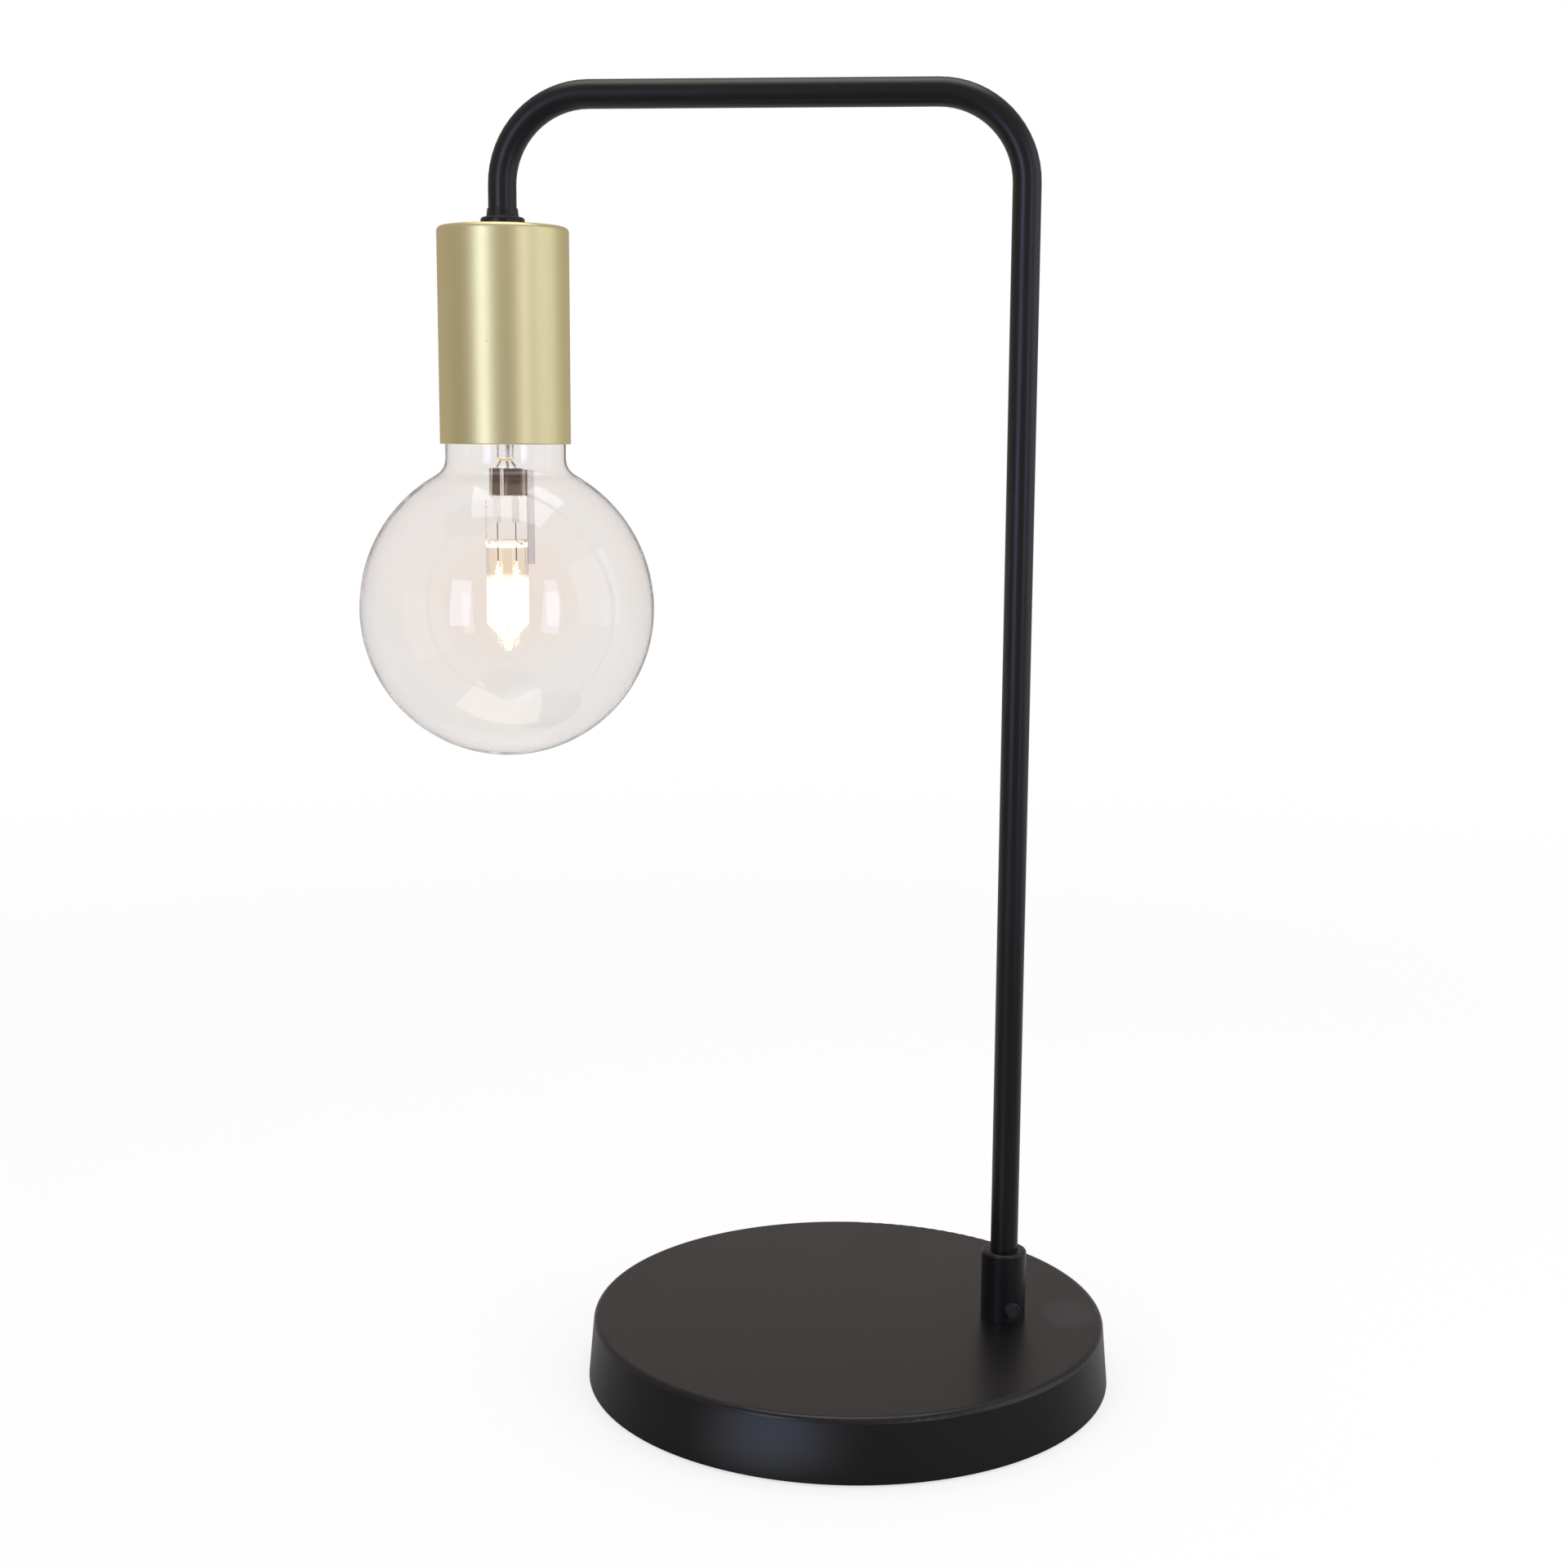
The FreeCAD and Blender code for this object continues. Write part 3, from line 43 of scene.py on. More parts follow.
@dataclass(frozen=True)
class Signal:
    """One output of a node: a number, colour, vector or shader that varies over a surface.

    A node without outputs gives a signal without a socket.
    """

    tree: bpy.types.NodeTree
    socket: Optional[bpy.types.NodeSocket]

    def _math(self, operation: str, first: "Value", second: "Value") -> "Signal":
        """Adds a Math node.

        Args:
            operation: The Math node's operation.
            first: Its first value.
            second: Its second value.

        Returns:
            The node's result.
        """
        settings = {"operation": operation}
        return add_node(self.tree, "ShaderNodeMath", settings, {0: first, 1: second})

    def __add__(self, other: "Value") -> "Signal":
        """self + other."""
        return self._math("ADD", self, other)

    def __radd__(self, other: "Value") -> "Signal":
        """other + self."""
        return self._math("ADD", other, self)

    def __sub__(self, other: "Value") -> "Signal":
        """self - other."""
        return self._math("SUBTRACT", self, other)

    def __rsub__(self, other: "Value") -> "Signal":
        """other - self."""
        return self._math("SUBTRACT", other, self)

    def __mul__(self, other: "Value") -> "Signal":
        """self * other."""
        return self._math("MULTIPLY", self, other)

    def __rmul__(self, other: "Value") -> "Signal":
        """other * self."""
        return self._math("MULTIPLY", other, self)

    def __truediv__(self, other: "Value") -> "Signal":
        """self / other."""
        return self._math("DIVIDE", self, other)

    def at_most(self, limit: float) -> "Signal":
        """This number, or the limit where it is larger."""
        return self._math("MINIMUM", self, limit)

    def step(self, low: float, high: float) -> "Signal":
        """A smooth step of this number.

        Args:
            low: Where the result is 0.
            high: Where the result is 1. It may be below low, for a step that falls.

        Returns:
            A number from 0 to 1.
        """
        settings = {"interpolation_type": "SMOOTHSTEP"}
        sockets = {0: self, 1: low, 2: high, 3: 0.0, 4: 1.0}
        return add_node(self.tree, "ShaderNodeMapRange", settings, sockets)


Value = Union[float, Signal]


def add_node(
    tree: bpy.types.NodeTree,
    kind: str,
    settings: Mapping[str, Any],
    sockets: Mapping[Union[str, int], Any],
    output: Union[str, int] = 0,
) -> Signal:
    """Adds a node of any type.

    Args:
        tree: The node tree that gets it.
        kind: The node's type.
        settings: Its settings, set first.
        sockets: Values or signals for its inputs, by name or number.
        output: The output to read.

    Returns:
        That output as a signal.
    """
    node = tree.nodes.new(kind)
    for name, value in settings.items():
        setattr(node, name, value)
    for name, value in sockets.items():
        if isinstance(value, Signal):
            tree.links.new(value.socket, node.inputs[name])
        else:
            node.inputs[name].default_value = value
    return Signal(tree, node.outputs[output] if node.outputs else None)


def mix_colours(tree: bpy.types.NodeTree, share: Value, low: Any, high: Any) -> Signal:
    """Adds a Mix node for two colours.

    Args:
        tree: The node tree that gets it.
        share: 0 for low and 1 for high.
        low: The first colour, with its fourth number if it is plain.
        high: The second colour, likewise.

    Returns:
        The colour between them.
    """
    sockets = {0: share, 6: low, 7: high}
    return add_node(tree, "ShaderNodeMix", {"data_type": "RGBA"}, sockets, 2)


class Nodes:
    """The nodes of one material, in the frame's metres."""

    def __init__(self, name: str) -> None:
        """Starts an empty material.

        Args:
            name: The material's name.
        """
        self.material = bpy.data.materials.new(name)
        self.material.use_nodes = True
        self.tree = self.material.node_tree
        self.tree.nodes.clear()
        self.place = self.add("ShaderNodeTexCoord", {}, {}, "Object")

    def add(
        self,
        kind: str,
        settings: Mapping[str, Any],
        sockets: Mapping[Union[str, int], Any],
        output: Union[str, int] = 0,
    ) -> Signal:
        """Adds a node of any type to this material.

        Args:
            kind: The node's type.
            settings: Its settings, set first.
            sockets: Values or signals for its inputs, by name or number.
            output: The output to read.

        Returns:
            That output as a signal.
        """
        return add_node(self.tree, kind, settings, sockets, output)

    def vector_math(self, operation: str, first: Any, second: Any) -> Signal:
        """Adds a Vector Math node.

        Args:
            operation: The node's operation.
            first: Its first vector.
            second: Its second vector.

        Returns:
            The resulting vector.
        """
        settings = {"operation": operation}
        return self.add("ShaderNodeVectorMath", settings, {0: first, 1: second})

    def along(self, axis: int) -> Signal:
        """One coordinate of the surface.

        Args:
            axis: 0, 1 or 2 for x, y or z.

        Returns:
            The coordinate in metres.
        """
        return self.add("ShaderNodeSeparateXYZ", {}, {0: self.place}, axis)

    def from_point(self, centre: Point, flatten: Point = (1.0, 1.0, 1.0)) -> Signal:
        """The distance of the surface from a point.

        Args:
            centre: The point, in metres.
            flatten: Factors on x, y and z first, so that 0 leaves one out.

        Returns:
            The distance in metres.
        """
        offset = self.vector_math("SUBTRACT", self.place, centre)
        scaled = self.vector_math("MULTIPLY", offset, flatten)
        return self.add("ShaderNodeVectorMath", {"operation": "LENGTH"}, {0: scaled}, "Value")

    def noise(
        self, size: float, stretch: Point = (1.0, 1.0, 1.0), detail: float = 2.0
    ) -> Signal:
        """Cloudy noise about 0.5.

        Args:
            size: The width of a blotch, in metres.
            stretch: Factors on x, y and z, below 1 along the way that blotches run long.
            detail: Octaves of finer noise.

        Returns:
            The noise, from 0 to 1.
        """
        drawn = self.vector_math("MULTIPLY", self.place, stretch)
        sockets = {"Vector": drawn, "Scale": 1.0 / size, "Detail": detail}
        return self.add("ShaderNodeTexNoise", {}, sockets)

    def specks(self, spacing: float, size: float) -> Signal:
        """Small round specks, one to a cell and some cells bare.

        Args:
            spacing: The width of a cell, in metres.
            size: The largest speck as a share of its cell.

        Returns:
            1 in a speck and 0 elsewhere.
        """
        cells = {"Vector": self.place, "Scale": 1.0 / spacing}
        near = self.add("ShaderNodeTexVoronoi", {}, cells, "Distance")
        pick = self.add("ShaderNodeTexVoronoi", {}, cells, "Color")
        share = self.add("ShaderNodeSeparateColor", {}, {0: pick}, 0)
        radius = share * share * size + size * 0.05
        return (near / radius).step(1.0, 0.6)

    def tint(self, share: Value, low: Colour, high: Colour) -> Signal:
        """Mixes two colours.

        Args:
            share: 0 for low and 1 for high.
            low: The first colour.
            high: The second colour.

        Returns:
            The colour between them.
        """
        return self.blend(share, (*low, 1.0), (*high, 1.0))

    def blend(self, share: Value, low: Any, high: Any) -> Signal:
        """Mixes two colours that may be signals.

        Args:
            share: 0 for low and 1 for high.
            low: The first colour, with its fourth number if it is plain.
            high: The second colour, likewise.

        Returns:
            The colour between them.
        """
        return mix_colours(self.tree, share, low, high)

    def relief(self, height: Signal, depth: float) -> Signal:
        """A bumped normal.

        Args:
            height: The relief, from 0 to 1.
            depth: What 1 stands for, in metres.

        Returns:
            The normal.
        """
        sockets = {"Strength": 1.0, "Distance": depth, "Height": height}
        return self.add("ShaderNodeBump", {}, sockets)

    def surface(self, **sockets: Any) -> Signal:
        """Adds a Principled surface.

        Args:
            **sockets: Its inputs, with _ for the spaces in a name. A colour may have 3 numbers.

        Returns:
            The surface.
        """
        filled = {}
        for name, value in sockets.items():
            plain = isinstance(value, tuple) and len(value) == 3
            filled[name.replace("_", " ")] = (*value, 1.0) if plain else value
        return self.add("ShaderNodeBsdfPrincipled", {}, filled)

    def let_lamps_through(self, glass: Signal, tint: Colour) -> Signal:
        """Glass that casts only a faint shadow.

        Args:
            glass: The glass surface.
            tint: What is left of light that passes.

        Returns:
            The mixed surface.
        """
        straight = self.add("ShaderNodeBsdfTransparent", {}, {"Color": (*tint, 1.0)})
        shadow = self.add("ShaderNodeLightPath", {}, {}, "Is Shadow Ray")
        return self.add("ShaderNodeMixShader", {}, {0: shadow, 1: glass, 2: straight})

    def close(self, surface: Signal) -> bpy.types.Material:
        """Sends the surface to the output.

        Args:
            surface: The whole surface.

        Returns:
            The finished material.
        """
        self.add("ShaderNodeOutputMaterial", {}, {"Surface": surface})
        return self.material


# -------------------------------------------------------------------- finishes


class Lay(Enum):
    """Which way the fine marks on a surface run, as factors on x, y and z."""

    TURNED = (0.03, 0.03, 1.0)
    DRAWN = (1.0, 1.0, 0.03)
    EVEN = (1.0, 1.0, 1.0)


@dataclass(frozen=True)
class Finish(ABC):
    """A finish, by name. Its build method makes the surface."""

    name: str

    @abstractmethod
    def build(self, nodes: Nodes) -> Signal:
        """Adds the finish's nodes.

        Args:
            nodes: The nodes of the finish's material.

        Returns:
            The surface.
        """

    def material(self) -> bpy.types.Material:
        """The finish's material, made at its first use."""
        name = f"lamp_{self.name}"
        made = bpy.data.materials.get(name)
        if made is None:
            nodes = Nodes(name)
            made = nodes.close(self.build(nodes))
        return made


@dataclass(frozen=True)
class Enamel(Finish):
    """Satin black stove enamel: a fine orange peel, faint wipe marks and a little dust.

    A patch about a given point is a little greyer: a painted reflection. The default lies off the
    lamp.
    """

    colour: Colour
    haze: Colour
    roughness: float
    peel: float = 0.55 * MM
    depth: float = 9 * MICRON
    wiped: float = 38 * MM
    dust: float = 7 * MM
    gloss: float = 0.42
    # painted reflection: where the lighter patch is centred, its colour, and its core, reach and
    # ragged edge
    painted_reflection_at: Point = (0.0, 0.0, -1.0)
    painted_reflection_colour: Colour = (0.021, 0.0205, 0.024)
    painted_reflection_core: float = 8 * MM
    painted_reflection_reach: float = 12 * MM
    painted_reflection_ragged: float = 5 * MM
    dust_colour: Colour = (0.09, 0.085, 0.08)

    def build(self, nodes: Nodes) -> Signal:
        """Adds the enamel's nodes and gives back its surface."""
        peel = nodes.noise(self.peel, detail=1.0)
        wipes = nodes.noise(self.wiped, (1.0, 0.35, 0.6), 4.0).step(0.42, 0.72)
        dust = nodes.specks(self.dust, 0.05)
        colour = nodes.tint(wipes * 0.6, self.colour, self.haze)
        # painted reflection: a lighter patch with a ragged edge about the given point
        patch = nodes.from_point(self.painted_reflection_at, (1.0, 0.8, 1.0)) + (wipes - 0.5) * self.painted_reflection_ragged
        patch = patch.step(self.painted_reflection_reach, self.painted_reflection_core)
        colour = nodes.blend(patch * 0.8, colour, (*self.painted_reflection_colour, 1.0))
        colour = nodes.blend(dust * 0.35, colour, (*self.dust_colour, 1.0))
        rough = self.roughness + wipes * 0.05 + (peel - 0.5) * 0.06 + dust * 0.2
        return nodes.surface(
            Base_Color=colour,
            Roughness=rough,
            Specular_IOR_Level=self.gloss,
            Normal=nodes.relief(peel + dust * 0.8, self.depth),
        )


@dataclass(frozen=True)
class SatinPlate(Finish):
    """Pale gold satin plating: very fine turned grain, a slow drift of tone and a few pinholes."""

    colour: Colour
    shade: Colour
    roughness: float
    grain: float = 0.16 * MM
    depth: float = 1.2 * MICRON
    pinhole: Colour = (0.16, 0.12, 0.06)

    def build(self, nodes: Nodes) -> Signal:
        """Adds the plating's nodes and gives back its surface."""
        grain = nodes.noise(self.grain, Lay.TURNED.value, 3.0)
        drift = nodes.noise(26 * MM, (1.0, 1.0, 0.5), 3.0)
        holes = nodes.specks(11 * MM, 0.045)
        tone = (drift - 0.5) * 0.7 + 0.35 + (grain - 0.5) * 0.25
        colour = nodes.tint(tone, self.colour, self.shade)
        colour = nodes.blend(holes * 0.7, colour, (*self.pinhole, 1.0))
        rough = self.roughness + (grain - 0.5) * 0.1 + (drift - 0.5) * 0.06 + holes * 0.2
        return nodes.surface(
            Base_Color=colour,
            Metallic=1.0,
            Roughness=rough,
            Normal=nodes.relief(grain - holes * 2.0, self.depth),
        )


@dataclass(frozen=True)
class Metal(Finish):
    """A bare or plated metal with fine marks and patches of tarnish."""

    colour: Colour
    tarnish: Colour
    roughness: float
    mark: float = 0.12 * MM
    depth: float = 3 * MICRON
    patch: float = 4 * MM
    lay: Lay = Lay.EVEN

    def build(self, nodes: Nodes) -> Signal:
        """Adds the metal's nodes and gives back its surface."""
        marks = nodes.noise(self.mark, self.lay.value, 3.0)
        patches = nodes.noise(self.patch, detail=4.0).step(0.4, 0.75)
        colour = nodes.tint(patches * 0.8 + (marks - 0.5) * 0.2, self.colour, self.tarnish)
        return nodes.surface(
            Base_Color=colour,
            Metallic=1.0,
            Roughness=self.roughness + (marks - 0.5) * 0.12 + patches * 0.12,
            Normal=nodes.relief(marks, self.depth),
        )


@dataclass(frozen=True)
class SpringSteel(Finish):
    """Bright spring steel whose colour carries upright stripes of painted reflection, dark to
    bright.

    Its leg, past leg_x, is paler.
    """

    leg_x: float
    # painted reflection: the dark and bright ends of its upright stripes
    dark: Colour = (0.07, 0.045, 0.032)
    bright: Colour = (0.95, 0.84, 0.74)
    leg: Colour = (0.94, 0.9, 0.9)

    def build(self, nodes: Nodes) -> Signal:
        """Adds the steel's nodes and gives back its surface."""
        # painted reflection: upright dark and bright stripes stand in for the room mirrored in the
        # steel
        painted_reflection_bands = nodes.noise(1.5 * MM, Lay.DRAWN.value, 2.0).step(0.44, 0.6)
        marks = nodes.noise(0.12 * MM, Lay.DRAWN.value, 2.0)
        colour = nodes.tint(painted_reflection_bands * 0.85 + marks * 0.1, self.dark, self.bright)
        on_leg = nodes.along(0).step(self.leg_x, self.leg_x + 0.4 * MM) * 0.8
        return nodes.surface(
            Base_Color=nodes.blend(on_leg, colour, (*self.leg, 1.0)),
            Metallic=1.0,
            Roughness=0.12 + marks * 0.06,
            Normal=nodes.relief(marks, 4 * MICRON),
        )


@dataclass(frozen=True)
class Felt(Finish):
    """Pressed wool felt: crossing fibres, flecks and a soft nap."""

    colour: Colour
    fleck: Colour

    def build(self, nodes: Nodes) -> Signal:
        """Adds the felt's nodes and gives back its surface."""
        one_way = nodes.noise(0.5 * MM, (1.0, 0.12, 1.0), 4.0)
        other_way = nodes.noise(0.5 * MM, (0.12, 1.0, 1.0), 4.0)
        nap = one_way * 0.5 + other_way * 0.5
        pressed = nodes.noise(9 * MM, detail=3.0)
        tone = nap.step(0.4, 0.7) * 0.7 + (pressed - 0.5) * 0.5
        colour = nodes.tint(tone, self.colour, self.fleck)
        return nodes.surface(
            Base_Color=colour,
            Roughness=0.93,
            Sheen_Weight=0.35,
            Sheen_Roughness=0.5,
            Specular_IOR_Level=0.2,
            Normal=nodes.relief(nap, 260 * MICRON),
        )


@dataclass(frozen=True)
class Moulded(Finish):
    """Moulded plastic, rubber or glaze: a fine skin texture and a slow change of gloss."""

    colour: Colour
    worn: Colour
    roughness: float
    skin: float = 0.25 * MM
    depth: float = 8 * MICRON
    coat: float = 0.0

    def build(self, nodes: Nodes) -> Signal:
        """Adds the moulding's nodes and gives back its surface."""
        skin = nodes.noise(self.skin, detail=2.0)
        flow = nodes.noise(7 * MM, (1.0, 1.0, 0.4), 3.0)
        tone = flow.step(0.35, 0.8) * 0.7 + (skin - 0.5) * 0.3
        colour = nodes.tint(tone, self.colour, self.worn)
        return nodes.surface(
            Base_Color=colour,
            Roughness=self.roughness + (flow - 0.5) * 0.14 + (skin - 0.5) * 0.06,
            Coat_Weight=self.coat,
            Coat_Roughness=0.12,
            Normal=nodes.relief(skin, self.depth),
        )


@dataclass(frozen=True)
class Mineral(Finish):
    """Steatite or cement: a chalky body with dark grains and small pores."""

    colour: Colour
    grain: Colour
    roughness: float
    pore: float = 0.8 * MM

    def build(self, nodes: Nodes) -> Signal:
        """Adds the mineral's nodes and gives back its surface."""
        body = nodes.noise(1.6 * MM, detail=5.0)
        pores = nodes.specks(self.pore, 0.18)
        tone = body.step(0.35, 0.8) * 0.5 + pores * 0.5
        colour = nodes.tint(tone, self.colour, self.grain)
        return nodes.surface(
            Base_Color=colour,
            Roughness=self.roughness + (body - 0.5) * 0.2,
            Normal=nodes.relief(body * 0.5 - pores * 0.6, 40 * MICRON),
        )


@dataclass(frozen=True)
class BulbGlass(Finish):
    """Clear blown glass: barely wavy, faintly smoky, tinted warmer near the capsule as painted
    glow.

    Below lit_end a painted glint of the coil's light glows on it. The default lies under the lamp.
    """

    tint: Colour
    ripple: float
    ripple_depth: float
    coil: Point
    # painted glow: the tint of the glass near the coil
    painted_glow_tint: Colour
    ior: float = 1.5
    lit_end: float = -1.0
    shadow: Colour = (0.95, 0.95, 0.95)
    glint: Colour = (1.0, 0.72, 0.36)
    glint_fade: float = 1.6 * MM
    # painted glow: where the warm tint is full and where it fades out
    painted_glow_core: float = 4 * MM
    painted_glow_reach: float = 34 * MM

    def build(self, nodes: Nodes) -> Signal:
        """Adds the glass's nodes and gives back its surface."""
        waves = nodes.noise(self.ripple, detail=1.0)
        film = nodes.noise(12 * MM, (1.0, 1.0, 0.3), 3.0).step(0.5, 0.85)
        # painted glint: where the glass glows, below lit_end
        lit = nodes.along(2).step(self.lit_end + self.glint_fade, self.lit_end)
        # painted glow: the glass is tinted warmer near the coil, standing in for its light
        near = nodes.from_point(self.coil, (1.0, 0.0, 1.0)).step(self.painted_glow_reach, self.painted_glow_core)
        glass = nodes.surface(
            Base_Color=nodes.tint(near + (film - 0.5) * 0.1, self.tint, self.painted_glow_tint),
            Roughness=film * 0.02,
            IOR=self.ior,
            Specular_IOR_Level=0.7,
            Coat_Weight=0.35,
            Coat_Roughness=0.02,
            Transmission_Weight=1.0,
            # painted glint: the glass glows below lit_end
            Emission_Color=nodes.tint(lit * (waves + 0.2), BLACK, self.glint),
            Emission_Strength=0.9,
            Normal=nodes.relief(waves, self.ripple_depth),
        )
        return nodes.let_lamps_through(glass, self.shadow)


@dataclass(frozen=True)
class CapsuleGlass(Finish):
    """Capsule quartz: clear at the pinch, painted warm glow below it, painted white glow round the
    coil.

    A painted glint glows in a narrow ring just under the pinch. Its heights are measured from
    pinch_end.
    """

    pinch_end: float
    coil_top: float
    coil_end: float
    # painted glow: brightness of the quartz's glow round the coil and in the ring
    glow: float
    # painted glow colours: white round the coil; amber tints the quartz below the pinch
    white: Colour = (1.0, 0.93, 0.78)
    amber: Colour = (1.0, 0.95, 0.86)
    clear: Colour = (1.0, 0.985, 0.97)
    shadow: Colour = (0.97, 0.96, 0.94)

    def build(self, nodes: Nodes) -> Signal:
        """Adds the quartz's nodes and gives back its surface."""
        height = nodes.along(2)
        # painted glow: the quartz round the coil glows white with the coil's light
        burning = height.step(self.coil_top - 1.5 * MM, self.coil_top - 4.5 * MM)
        burning = burning * height.step(self.coil_end - 18 * MM, self.coil_end - 4 * MM)
        # painted glint: a narrow glowing ring just under the pinch
        ring = height.step(self.pinch_end - 2.7 * MM, self.pinch_end - 2.2 * MM)
        ring = ring * height.step(self.pinch_end - 0.3 * MM, self.pinch_end - 0.9 * MM)
        # painted warm glow: the quartz below the pinch is tinted amber by the coil's light
        warm = height.step(self.pinch_end - 1.5 * MM, self.pinch_end - 3.5 * MM)
        cloud = nodes.noise(3 * MM, detail=3.0)
        light = nodes.tint((burning + ring * 0.9) * self.glow, BLACK, self.white)
        glass = nodes.surface(
            Base_Color=nodes.tint(warm * (cloud + 0.4), self.clear, self.amber),
            Roughness=0.01 + cloud * 0.02,
            IOR=1.3,
            Transmission_Weight=1.0,
            Emission_Color=light,
            Emission_Strength=1.0,
            Normal=nodes.relief(nodes.noise(2.5 * MM, detail=1.0), 50 * MICRON),
        )
        return nodes.let_lamps_through(glass, self.shadow)


@dataclass(frozen=True)
class Burning(Finish):
    """Tungsten at white heat, hotter in the coil than at its legs."""

    cool_end: float
    hot_end: float
    glow: float
    light: Colour = (1.0, 0.74, 0.42)
    dark: Colour = (0.1, 0.08, 0.07)
    bright: Colour = (0.24, 0.2, 0.18)

    def build(self, nodes: Nodes) -> Signal:
        """Adds the wire's nodes and gives back its surface."""
        heat = nodes.along(2).step(self.cool_end, self.hot_end)
        grain = nodes.noise(0.1 * MM, detail=2.0)
        light = nodes.tint(heat, BLACK, self.light)
        return nodes.surface(
            Base_Color=nodes.tint(grain, self.dark, self.bright),
            Metallic=1.0,
            Roughness=0.4 + grain * 0.2,
            Emission_Color=light,
            Emission_Strength=self.glow,
            Normal=nodes.relief(grain, 4 * MICRON),
        )


# --------------------------------------------------------------- sub-assemblies


def dress(node: str, finish: Finish) -> None:
    """Gives a CAD node its finish.

    Args:
        node: The node's name.
        finish: The finish for all its faces.
    """
    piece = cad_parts[node]
    if not piece.material_slots:
        piece.data.materials.append(None)
    for slot in piece.material_slots:
        slot.material = finish.material()
    LOG.info("dressed %s in %s", node, finish.name)


@dataclass
class SubAssembly(ABC):
    """A group of CAD nodes and the finish of each."""

    @abstractmethod
    def finishes(self) -> Dict[str, Finish]:
        """The finish of each CAD node in the group."""

    def build(self) -> None:
        """Dresses the group's nodes."""
        for node, finish in self.finishes().items():
            dress(node, finish)


ENAMEL = Enamel(
    "satin_black_enamel", (0.0045, 0.0042, 0.0045), (0.008, 0.0076, 0.0078), 0.34
)
ZINC = Metal("zinc_plate", (0.62, 0.63, 0.66), (0.42, 0.42, 0.4), 0.3, mark=0.3 * MM)
BRASS = Metal("contact_brass", (0.83, 0.6, 0.27), (0.5, 0.31, 0.12), 0.24)
NICKEL_WIRE = Metal("nickel_wire", (0.6, 0.57, 0.53), (0.32, 0.29, 0.26), 0.26, lay=Lay.DRAWN)


@dataclass
class Foot(SubAssembly):
    """The round weighted base, its felt pad and the stack that clamps the pole."""

    height: float = 21.3 * MM

    def finishes(self) -> Dict[str, Finish]:
        """The finish of each CAD node in the foot."""
        return {
            "base_cover": Enamel(
                "satin_black_base",
                (0.0045, 0.0038, 0.004),
                (0.0075, 0.0068, 0.0068),
                0.3,
                gloss=0.43,
                # painted reflection: a lighter patch on the base top, right of the collar
                painted_reflection_at=(73 * MM, 3 * MM, self.height),
            ),
            "base_weight": Mineral(
                "ballast_cement", (0.4, 0.39, 0.37), (0.2, 0.19, 0.18), 0.9, pore=2.4 * MM
            ),
            "base_pad": Felt("black_felt", (0.012, 0.012, 0.013), (0.05, 0.05, 0.052)),
            "foot_washer": ZINC,
            "foot_lock_washer": ZINC,
            "foot_nut": ZINC,
        }


@dataclass
class Pole(SubAssembly):
    """The bent tube with its collar, ferrule and cord outlet, and the flex inside it."""

    def finishes(self) -> Dict[str, Finish]:
        """The finish of each CAD node of the pole."""
        return {
            "pole_collar": ENAMEL,
            "arm_tube": ENAMEL,
            "tube_ferrule": ENAMEL,
            "cord_sleeve": Moulded(
                "outlet_rubber", (0.016, 0.016, 0.017), (0.03, 0.03, 0.032), 0.55
            ),
            "inner_flex": Moulded("flex_sheath", (0.02, 0.02, 0.021), (0.04, 0.04, 0.04), 0.45),
        }


@dataclass
class Holder(SubAssembly):
    """The gold cup and the screw lamp holder inside it."""

    def finishes(self) -> Dict[str, Finish]:
        """The finish of each CAD node of the holder."""
        thermoset = Moulded("holder_thermoset", (0.012, 0.011, 0.011), (0.022, 0.02, 0.019), 0.3)
        return {
            "socket_cup": SatinPlate(
                "pale_gold_plate", (0.88, 0.78, 0.43), (0.82, 0.71, 0.36), 0.42
            ),
            "holder_lock_washer": ZINC,
            "holder_cap": thermoset,
            "holder_skirt": thermoset,
            "holder_insert": Mineral("steatite", (0.78, 0.76, 0.7), (0.5, 0.47, 0.4), 0.42),
            "centre_contact": BRASS,
            "shell_contact": BRASS,
            "screw_shell": BRASS,
            "contact_rivets": ZINC,
            "terminal_blocks": BRASS,
            "terminal_screws": ZINC,
            "live_core": Moulded("core_brown", (0.12, 0.045, 0.018), (0.17, 0.07, 0.03), 0.4),
            "neutral_core": Moulded("core_blue", (0.02, 0.09, 0.33), (0.04, 0.14, 0.42), 0.4),
            "conductor_ends": Metal(
                "bare_copper", (0.86, 0.42, 0.26), (0.45, 0.2, 0.1), 0.3, lay=Lay.DRAWN
            ),
        }


